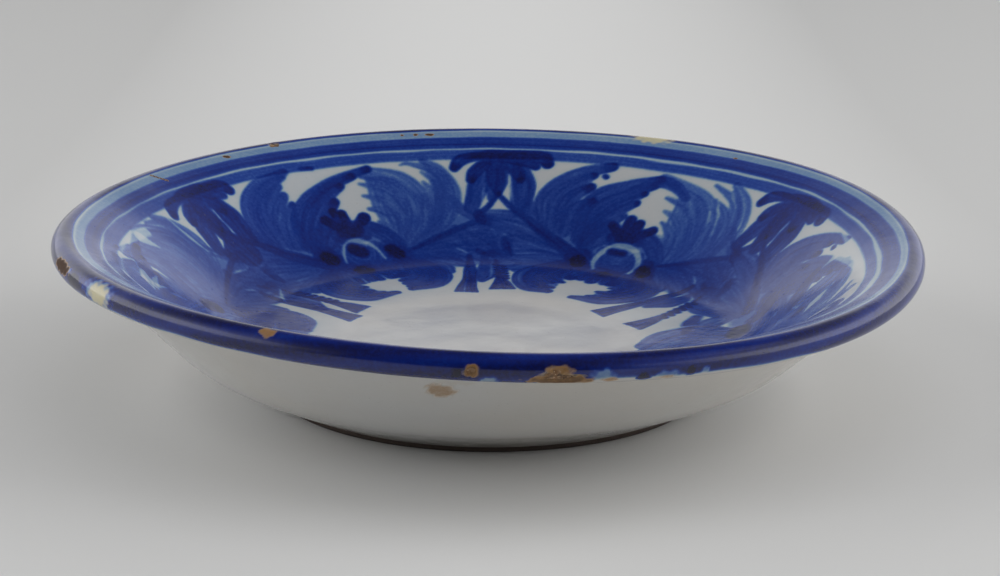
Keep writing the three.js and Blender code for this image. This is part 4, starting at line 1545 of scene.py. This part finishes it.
@dataclass(frozen=True)
class BasePatch:
    """The glaze inside the foot ring, which the wiped bearing ring cuts off from the main coat."""

    name: str = "glaze_under_foot"
    columns: int = 256
    top: float = 0.48
    bed: float = 0.01

    def build(self, section: Section) -> bpy.types.Object:
        """Make the patch.

        Args:
            section: The section's sizes.

        Returns:
            The patch.
        """
        face = section.recess_face()
        normal = section.recess_normals(face)
        skin = face + self.top * normal
        back = face + self.bed * normal
        skin[0, 0] = 0.0
        back[0, 0] = 0.0
        piece = new_object(throw(np.concatenate([skin, back[::-1]]), self.columns, False), self.name)
        for layer in LAYERS:
            write_attribute(piece.data, layer, np.zeros(len(piece.data.vertices)))
        return piece


@dataclass(frozen=True)
class ClayBody:
    """The thrown and turned biscuit, bare at the foot ring and in the chips."""

    name: str = "biscuit_body"
    columns: int = 736
    chip_seed: float = 8.7

    def build(self, run: FaceRun, section: Section) -> bpy.types.Object:
        """Make the body, with its chips but before the rim's waver.

        Args:
            run: The clay's face.
            section: The section's sizes.

        Returns:
            The body.
        """
        face = run.offset(knots(float(run.inset[-1]), float(run.inset[0])), 0.0)[::-1]
        face[0, 0] = 0.0
        bevel = min(section.foot_bevel, section.foot_height / 2)
        foot = np.array(
            [
                (section.foot_radius, bevel),
                (section.foot_radius - section.foot_bevel, 0.0),
                (section.foot_radius - section.foot_width, 0.0),
            ]
        )
        outline = np.concatenate([face, foot, section.recess_face()[::-1]])
        piece = new_object(throw(outline, self.columns, False), self.name)
        knock(piece, [ChipCutter(chip, section, 0.0, self.chip_seed) for chip in CHIPS])
        return piece


@dataclass(frozen=True)
class Grain:
    """A noise in the piece's own coordinates, and the range from and to which it is mapped."""

    scale: float
    detail: float
    roughness: float
    reach: Reach = (0.0, 1.0, 0.0, 1.0)


@dataclass(frozen=True)
class Spots:
    """Scattered round spots in the piece's own coordinates, mapped by distance from their middles."""

    scale: float
    reach: Reach


class NodeBook:
    """Short ways to lay out a material's nodes."""

    def __init__(self, owner: bpy.types.Material | bpy.types.World) -> None:
        """Start with an empty node tree."""
        owner.use_nodes = True
        self.tree = owner.node_tree
        self.tree.nodes.clear()

    def node(self, kind: str, **settings: object) -> bpy.types.Node:
        """Add a node and set its properties.

        Args:
            kind: The node's type name without its prefix.
            **settings: Properties by name.

        Returns:
            The node.
        """
        made = self.tree.nodes.new("ShaderNode" + kind)
        for name, value in settings.items():
            setattr(made, name, value)
        return made

    def feed(self, node: bpy.types.Node, **values: object) -> None:
        """Set a node's sockets, or link other sockets to them.

        Args:
            node: The node to feed.
            **values: A number, colour or socket by the name of the input, with underscores for
                spaces and a bare number after the letter i for an unnamed input.
        """
        for name, value in values.items():
            place = int(name[1:]) if name[1:].isdigit() else name.replace("_", " ")
            if isinstance(value, Socket):
                self.tree.links.new(value, node.inputs[place])
            else:
                node.inputs[place].default_value = value

    def math(self, operation: str, first: object, second: object = 0.0) -> Socket:
        """Join two numbers by an operation."""
        made = self.node("Math", operation=operation)
        self.feed(made, i0=first, i1=second)
        return made.outputs[0]

    def place(self, kind: str = "Object") -> Socket:
        """The place that is shaded, in the named coordinates."""
        return self.node("TexCoord").outputs[kind]

    def axes(self, kind: str = "Object") -> bpy.types.bpy_prop_collection:
        """The three coordinates of the place that is shaded, by their letters."""
        made = self.node("SeparateXYZ")
        self.feed(made, i0=self.place(kind))
        return made.outputs

    def noise(self, grain: Grain) -> Socket:
        """A noise about 0.5."""
        made = self.node("TexNoise")
        self.feed(made, Vector=self.place(), Scale=grain.scale)
        self.feed(made, Detail=grain.detail, Roughness=grain.roughness)
        return made.outputs["Fac"]

    def grain(self, grain: Grain) -> Socket:
        """A noise mapped to its range."""
        return self.span(self.noise(grain), *grain.reach)

    def spots(self, spots: Spots) -> Socket:
        """Distance to the nearest of scattered points, mapped to its range."""
        made = self.node("TexVoronoi")
        self.feed(made, Vector=self.place(), Scale=spots.scale)
        return self.span(made.outputs["Distance"], *spots.reach)

    def attribute(self, name: str) -> Socket:
        """A number stored on the vertices."""
        return self.node("Attribute", attribute_name=name).outputs["Fac"]

    def span(self, value: object, low: float, high: float, first: float, last: float) -> Socket:
        """Map a range to another, smoothly and held at its ends."""
        made = self.node("MapRange", interpolation_type="SMOOTHSTEP")
        self.feed(made, i0=value, i1=low, i2=high, i3=first, i4=last)
        return made.outputs[0]

    def mix(self, share: object, first: object, second: object, blend: str = "MIX") -> Socket:
        """Mix two colours."""
        made = self.node("Mix", data_type="RGBA", blend_type=blend)
        both = [(*colour, 1.0) if isinstance(colour, tuple) else colour for colour in (first, second)]
        self.feed(made, i0=share, i6=both[0], i7=both[1])
        return made.outputs[2]

    def ramp(self, value: object, stops: tuple[tuple[float, Colour], ...]) -> Socket:
        """Turn a number into a colour by stops."""
        made = self.node("ValToRGB")
        elements = made.color_ramp.elements
        while len(elements) < len(stops):
            elements.new(1.0)
        for element, (place, _) in zip(elements, stops):
            element.position = place
        for element, (_, colour) in zip(elements, stops):
            element.color = (*colour, 1.0)
        self.feed(made, i0=value)
        return made.outputs[0]

    def bump(self, height: object, distance: float, **under: object) -> Socket:
        """Raise the surface by a height of 0 to 1 times a distance in metres."""
        made = self.node("Bump")
        self.feed(made, Height=height, Distance=distance, **under)
        return made.outputs[0]

    def finish(self, **values: object) -> None:
        """End a material in a surface with these values."""
        surface = self.node("BsdfPrincipled")
        self.feed(surface, **values)
        self.feed(self.node("OutputMaterial"), Surface=surface.outputs[0])


@dataclass(frozen=True)
class TinGlaze:
    """Opaque tin glaze with cobalt melted into it, stained and pitted by use."""

    name: str
    white: Colour = (0.48, 0.482, 0.486)
    cream: Colour = (0.49, 0.475, 0.458)
    speck: Colour = (0.20, 0.16, 0.12)
    crumb: Colour = (0.10, 0.07, 0.05)
    pale_crumb: Colour = (0.27, 0.19, 0.11)
    bared: Colour = (0.47, 0.435, 0.29)
    rusts: tuple[tuple[float, Colour], ...] = (
        (0.0, (0.46, 0.33, 0.17)),
        (0.42, (0.30, 0.16, 0.05)),
        (0.8, (0.06, 0.032, 0.02)),
    )
    deepest_ink: float = 4.0
    tones: tuple[tuple[float, Colour], ...] = (
        (0.0, (1.0, 1.0, 1.0)),
        (0.10, (0.58, 0.76, 0.91)),
        (0.25, (0.27, 0.47, 0.80)),
        (0.5, (0.085, 0.21, 0.70)),
        (0.8, (0.032, 0.105, 0.56)),
        (1.2, (0.009, 0.055, 0.44)),
        (1.7, (0.008, 0.029, 0.31)),
        (2.4, (0.010, 0.016, 0.15)),
        (3.2, (0.013, 0.012, 0.06)),
    )
    ink_grain: Grain = Grain(1100, 3, 0.6, (0.2, 0.8, 0.84, 1.16))
    ink_cloud: Grain = Grain(70, 3, 0.55, (0.2, 0.8, -0.1, 0.1))
    blotch: Grain = Grain(14, 4, 0.6, (0.35, 0.65, 0.0, 1.0))
    specks: Spots = Spots(420, (0.03, 0.09, 0.72, 1.0))
    pits: Spots = Spots(300, (0.02, 0.10, 0.0, 1.0))
    mottle: Grain = Grain(900, 4, 0.65)
    crumb_reach: Reach = (0.4, 0.6, 0.0, 1.0)
    bare_reach: Reach = (0.25, 0.5, 0.88, 1.0)
    rust_reach: Reach = (0.2, 0.55, 0.75, 1.1)
    rust_edge: Reach = (0.05, 0.55, 0.0, 1.0)
    wear: Grain = Grain(160, 4, 0.6, (0.3, 0.7, 0.11, 0.2))
    matt: float = 0.5
    swell: float = 0.0011
    swell_grain: Grain = Grain(26, 2, 0.4)
    peel: float = 0.000035
    peel_grain: Grain = Grain(420, 2, 0.5)
    pit_depth: float = 0.00004
    ior: float = 1.52

    def make(self) -> bpy.types.Material:
        """Lay out the material.

        Returns:
            The material.
        """
        material = bpy.data.materials.new(self.name)
        book = NodeBook(material)
        uneven = book.math("ADD", book.grain(self.ink_grain), book.grain(self.ink_cloud))
        ink = book.math("MULTIPLY", book.attribute("ink"), uneven)
        stops = tuple((place / self.deepest_ink, colour) for place, colour in self.tones)
        cobalt = book.ramp(book.math("DIVIDE", ink, self.deepest_ink), stops)
        white = book.mix(book.grain(self.blotch), self.white, self.cream)
        specks = book.math("SUBTRACT", 1.0, book.spots(self.specks))
        colour = book.mix(1.0, book.mix(specks, white, self.speck), cobalt, "MULTIPLY")
        broken = book.attribute("broken")
        mottle = book.noise(self.mottle)
        crumbs = book.mix(book.span(mottle, *self.crumb_reach), self.crumb, self.pale_crumb)
        colour = book.mix(broken, colour, crumbs)
        bare = book.math("MULTIPLY", book.attribute("bare"), book.span(mottle, *self.bare_reach))
        colour = book.mix(bare, colour, self.bared)
        rust = book.math("MULTIPLY", book.attribute("rust"), book.span(mottle, *self.rust_reach))
        colour = book.mix(book.span(rust, *self.rust_edge), colour, book.ramp(rust, self.rusts))
        matt = book.math("MULTIPLY", book.math("MAXIMUM", broken, rust), self.matt)
        swell = book.bump(book.noise(self.swell_grain), self.swell)
        peel = book.bump(book.noise(self.peel_grain), self.peel, Normal=swell)
        pitted = book.bump(book.spots(self.pits), self.pit_depth, Normal=peel)
        roughness = book.math("ADD", book.grain(self.wear), matt)
        book.finish(Base_Color=colour, Roughness=roughness, IOR=self.ior, Normal=pitted)
        return material


@dataclass(frozen=True)
class BiscuitClay:
    """Fired reddish-buff clay with coarse grain, a dark grimy skin in its hollows, and painted shade that
    darkens it near the bottom of the foot.
    """

    name: str = "biscuit_clay"
    pale: Colour = (0.34, 0.22, 0.13)
    dark: Colour = (0.16, 0.075, 0.03)
    grit: Colour = (0.62, 0.50, 0.34)
    # Colour of the grime in the clay's hollows, also used as painted shade at the foot's bottom
    grime_and_foot_shade: Colour = (0.04, 0.026, 0.02)
    # Heights in metres between which painted shade darkens the clay towards the table
    foot_shade_height: Reach = (0.0034, 0.0016, 0.0, 1.0)
    cloud: Grain = Grain(380, 5, 0.6, (0.36, 0.62, 0.0, 1.0))
    grains: Spots = Spots(1500, (0.05, 0.25, 0.0, 1.0))
    hollows: Grain = Grain(230, 4, 0.7, (0.52, 0.66, 0.0, 1.0))
    coarse: Grain = Grain(1300, 5, 0.7)
    relief: float = 0.0003
    roughness: float = 0.85

    def make(self) -> bpy.types.Material:
        """Lay out the material.

        Returns:
            The material.
        """
        material = bpy.data.materials.new(self.name)
        book = NodeBook(material)
        body = book.mix(book.grain(self.cloud), self.dark, self.pale)
        body = book.mix(book.math("SUBTRACT", 1.0, book.spots(self.grains)), body, self.grit)
        # Painted shade: below a few millimetres the clay turns to the grime colour, standing for the dark
        # contact shadow at the foot
        low = book.span(book.axes()["Z"], *self.foot_shade_height)
        colour = book.mix(book.math("MAXIMUM", book.grain(self.hollows), low), body, self.grime_and_foot_shade)
        rough = book.bump(book.noise(self.coarse), self.relief)
        book.finish(Base_Color=colour, Roughness=self.roughness, Normal=rough)
        return material


@dataclass(frozen=True)
class TablePaper:
    """Pale grey paper under and behind the plate, with painted light and shade: lighter towards the back
    and darker at the sides behind the plate.
    """

    name: str = "table_paper"
    tone: Colour = (0.7, 0.7, 0.695)
    dull_tone: Colour = (0.63, 0.63, 0.6255)
    cloud: Grain = Grain(6, 3, 0.5, (0.3, 0.7, 0.97, 1.0))
    # Painted light and shade on the paper: a level raised towards the back and lowered at the sides
    # behind the plate, held between least and most
    level: float = 0.97
    least: float = 0.82
    most: float = 1.12
    painted_back_light: float = 0.27
    painted_side_shade: float = 30.0
    side_shade_start: float = 0.12
    roughness: float = 0.75

    def make(self) -> bpy.types.Material:
        """Lay out the material.

        Returns:
            The material.
        """
        material = bpy.data.materials.new(self.name)
        book = NodeBook(material)
        colour = book.mix(book.grain(self.cloud), self.dull_tone, self.tone)
        axes = book.axes()
        # Painted light and shade: the tone is lifted towards the back and darkened at the sides behind
        # the plate
        aside = book.math("MULTIPLY", axes["X"], axes["X"])
        behind = book.math("MAXIMUM", book.math("ADD", axes["Y"], self.side_shade_start), 0.0)
        side_shade = book.math("MULTIPLY", book.math("MULTIPLY", aside, behind), self.painted_side_shade)
        rise = book.math("ADD", book.math("MULTIPLY", axes["Y"], self.painted_back_light), self.level)
        held = book.math("MAXIMUM", book.math("SUBTRACT", rise, side_shade), self.least)
        level = book.math("MINIMUM", held, self.most)
        book.finish(Base_Color=book.mix(1.0, colour, level, "MULTIPLY"), Roughness=self.roughness)
        return material


@dataclass(frozen=True)
class SoupPlate:
    """The whole plate: its clay, its coat in bands, and the painting on it."""

    section: Section = Section()
    waver: RimWaver = RimWaver()
    crease: float = 40.0
    # Painted light: the outside's glaze and the patch under the foot get a lighter white than the
    # inside's, making up for the shade they lie in
    outside_brightened_white: Colour = (0.53, 0.53, 0.52)
    outside_brightened_cream: Colour = (0.54, 0.52, 0.485)
    outside_swell: float = 0.0005
    bands: tuple[GlazeRing, ...] = (
        GlazeRing("glaze_outside", -90.0, -12.0, 736, 1.2),
        GlazeRing("glaze_lip", -12.0, 1.0, 1440, 0.4, True),
        GlazeRing("glaze_border", 1.0, 11.0, 1440, 0.3, True),
        GlazeRing("glaze_frieze_upper", 11.0, 33.0, 1280, 0.35),
        GlazeRing("glaze_frieze_lower", 33.0, 55.0, 1088, 0.33),
        GlazeRing("glaze_well_edge", 55.0, 80.0, 896, 0.4),
        GlazeRing("glaze_well", 80.0, 200.0, 256, 2.0),
    )

    def painted_canvas(self, run: FaceRun) -> Canvas:
        """Paint the frieze, its borders and the marks of use."""
        canvas = Canvas(run, self.section.glaze)
        frieze = Frieze()
        frieze.lay_ground(canvas)
        frieze.lay_repeats(canvas)
        frieze.lay_borders(canvas)
        for mark in MARKS:
            Wear().stamp(canvas, mark)
        return canvas

    def build(self, body: str) -> list[bpy.types.Object]:
        """Make all pieces, dress them and put them on their body.

        Args:
            body: Name of the body that they ride on.

        Returns:
            The pieces.
        """
        run = self.section.face_run()
        canvas = self.painted_canvas(run)
        glaze = TinGlaze("painted_tin_glaze").make()
        # Painted light: the plain glaze is lighter than the painted one to make up for the shade on the
        # outside
        tones = (self.outside_brightened_white, self.outside_brightened_cream)
        plain = TinGlaze("plain_tin_glaze", *tones, swell=self.outside_swell).make()
        pieces = []
        for band in self.bands:
            piece = band.build(run, self.section)
            band.paint(piece, run, canvas)
            self.dress(piece, plain if band is self.bands[0] else glaze, "tin_glaze")
            pieces.append(piece)
        patch = BasePatch().build(self.section)
        self.dress(patch, plain, "base_glaze")
        clay = ClayBody().build(run, self.section)
        self.dress(clay, BiscuitClay().make(), "clay_body")
        pieces += [patch, clay]
        for piece in pieces:
            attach(piece, body)
        return pieces

    def dress(self, piece: bpy.types.Object, finish: bpy.types.Material, node: str) -> None:
        """Give a piece its finish and say which solid it stands for.

        Args:
            piece: The piece.
            finish: Its material.
            node: The solid that it replaces.
        """
        follow_waver(piece.data, self.waver)
        shade(piece, self.crease)
        piece.data.materials.clear()
        piece.data.materials.append(finish)
        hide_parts(node)
        LOG.info("%s has %d faces and stands for %s", piece.name, len(piece.data.polygons), node)


@dataclass(frozen=True)
class Lamp:
    """A soft lamp: where it hangs, the length of its side in metres and its power in watts."""

    name: str
    place: tuple[float, float, float]
    size: float
    power: float


@dataclass(frozen=True)
class Window:
    """A bright patch of the room: its direction, how far it reaches and how much light it adds."""

    way: tuple[float, float, float]
    reach: Reach


@dataclass(frozen=True)
class Studio:
    """The pale table, the soft lamps and the camera of the photograph."""

    floor_size: float = 6.0
    floor_segments: int = 4
    rim_centre: tuple[float, float, float] = (0.0, 0.0, 0.0382)
    distance: float = 0.825
    elevation: float = 15.548
    roll: float = 0.4168
    focal_pixels: float = 3254.66
    sensor: float = 36.0
    centre_offset: tuple[float, float] = (-11.6, 50.73)
    lamps: tuple[Lamp, ...] = (
        Lamp("lamp_left", (-1.15, 0.0, 0.6), 1.2, 7.3),
        Lamp("lamp_right", (1.15, 0.0, 0.52), 1.2, 9.6),
        Lamp("lamp_above", (0.1, -0.05, 1.3), 1.3, 4.6),
    )
    sky: tuple[tuple[float, float], ...] = (
        (0.0, 0.8),
        (0.36, 0.8),
        (0.46, 0.35),
        (0.6, 0.2),
        (0.8, 0.07),
        (1.0, 0.04),
    )
    windows: tuple[Window, ...] = (
        Window((0.62, -0.04, 0.783), (0.94, 0.985, 0.0, 2.2)),
        Window((-0.85, -0.07, 0.52), (0.95, 0.99, 0.0, 0.5)),
    )
    side_gain: float = 1.7
    front_reach: Reach = (-0.9, -0.25, 0.03, 1.0)

    def lay_floor(self) -> None:
        """Lay the table paper."""
        form = bmesh.new()
        cuts = self.floor_segments
        bmesh.ops.create_grid(form, x_segments=cuts, y_segments=cuts, size=self.floor_size / 2)
        floor = new_object(form, "table_floor")
        floor.data.materials.append(TablePaper().make())

    def hang(self, lamp: Lamp) -> None:
        """Hang a square soft lamp that looks at the plate and that the glaze doesn't mirror."""
        data = bpy.data.lights.new(lamp.name, "AREA")
        data.shape = "SQUARE"
        data.size = lamp.size
        data.energy = lamp.power
        hung = bpy.data.objects.new(lamp.name, data)
        aim = Vector(self.rim_centre) - Vector(lamp.place)
        hung.location = lamp.place
        hung.rotation_euler = aim.to_track_quat("-Z", "Y").to_euler()
        hung.visible_glossy = False
        bpy.context.scene.collection.objects.link(hung)

    def light(self) -> None:
        """Hang the lamps, and set a room that is bright at its sides and dim overhead and in front."""
        for lamp in self.lamps:
            self.hang(lamp)
        world = bpy.data.worlds.new("studio_room")
        book = NodeBook(world)
        axes = book.axes("Generated")
        tone = book.ramp(axes["Z"], tuple((rise, (level,) * 3) for rise, level in self.sky))
        aside = book.math("MULTIPLY", axes["X"], axes["X"])
        gain = book.math("ADD", book.math("MULTIPLY", aside, self.side_gain), 1.0)
        strength = book.math("MULTIPLY", gain, book.span(axes["Y"], *self.front_reach))
        for window in self.windows:
            facing = book.node("VectorMath", operation="DOT_PRODUCT")
            book.feed(facing, i0=book.place("Generated"), i1=window.way)
            glow = book.span(facing.outputs["Value"], *window.reach)
            strength = book.math("ADD", strength, glow)
        background = book.node("Background")
        book.feed(background, Color=tone, Strength=strength)
        book.feed(book.node("OutputWorld"), Surface=background.outputs[0])
        bpy.context.scene.world = world

    def place_camera(self) -> None:
        """Set the camera where the photograph was taken."""
        data = bpy.data.cameras.new("photo_camera")
        data.sensor_width = self.sensor
        data.lens = self.focal_pixels * self.sensor / PHOTO_WIDTH
        data.shift_x = -self.centre_offset[0] / PHOTO_WIDTH
        data.shift_y = -self.centre_offset[1] / PHOTO_WIDTH
        camera = bpy.data.objects.new("photo_camera", data)
        tilt = math.radians(self.elevation)
        back = Vector((0.0, -math.cos(tilt), math.sin(tilt))) * self.distance
        camera.location = Vector(self.rim_centre) + back
        level = Euler((math.pi / 2 - tilt, 0.0, 0.0)).to_matrix()
        turned = level @ Matrix.Rotation(math.radians(self.roll), 3, "Z")
        camera.rotation_euler = turned.to_euler()
        bpy.context.scene.collection.objects.link(camera)
        bpy.context.scene.camera = camera

    def set_up(self) -> None:
        """Lay the table, light it and place the camera."""
        self.lay_floor()
        self.light()
        self.place_camera()
        bpy.context.scene.view_settings.view_transform = "Standard"


def write_sizes() -> None:
    """Bring the scene's evaluated state up to date."""
    bpy.context.view_layer.update()


def main() -> None:
    """Build the plate and its studio in order."""
    logging.basicConfig(level=logging.INFO, format="%(name)s: %(message)s")
    body = sorted(frame["bodies"])[0]
    pieces = SoupPlate().build(body)
    LOG.info("%d pieces ride on %s", len(pieces), body)
    Studio().set_up()
    write_sizes()


if __name__ == "__main__":
    main()
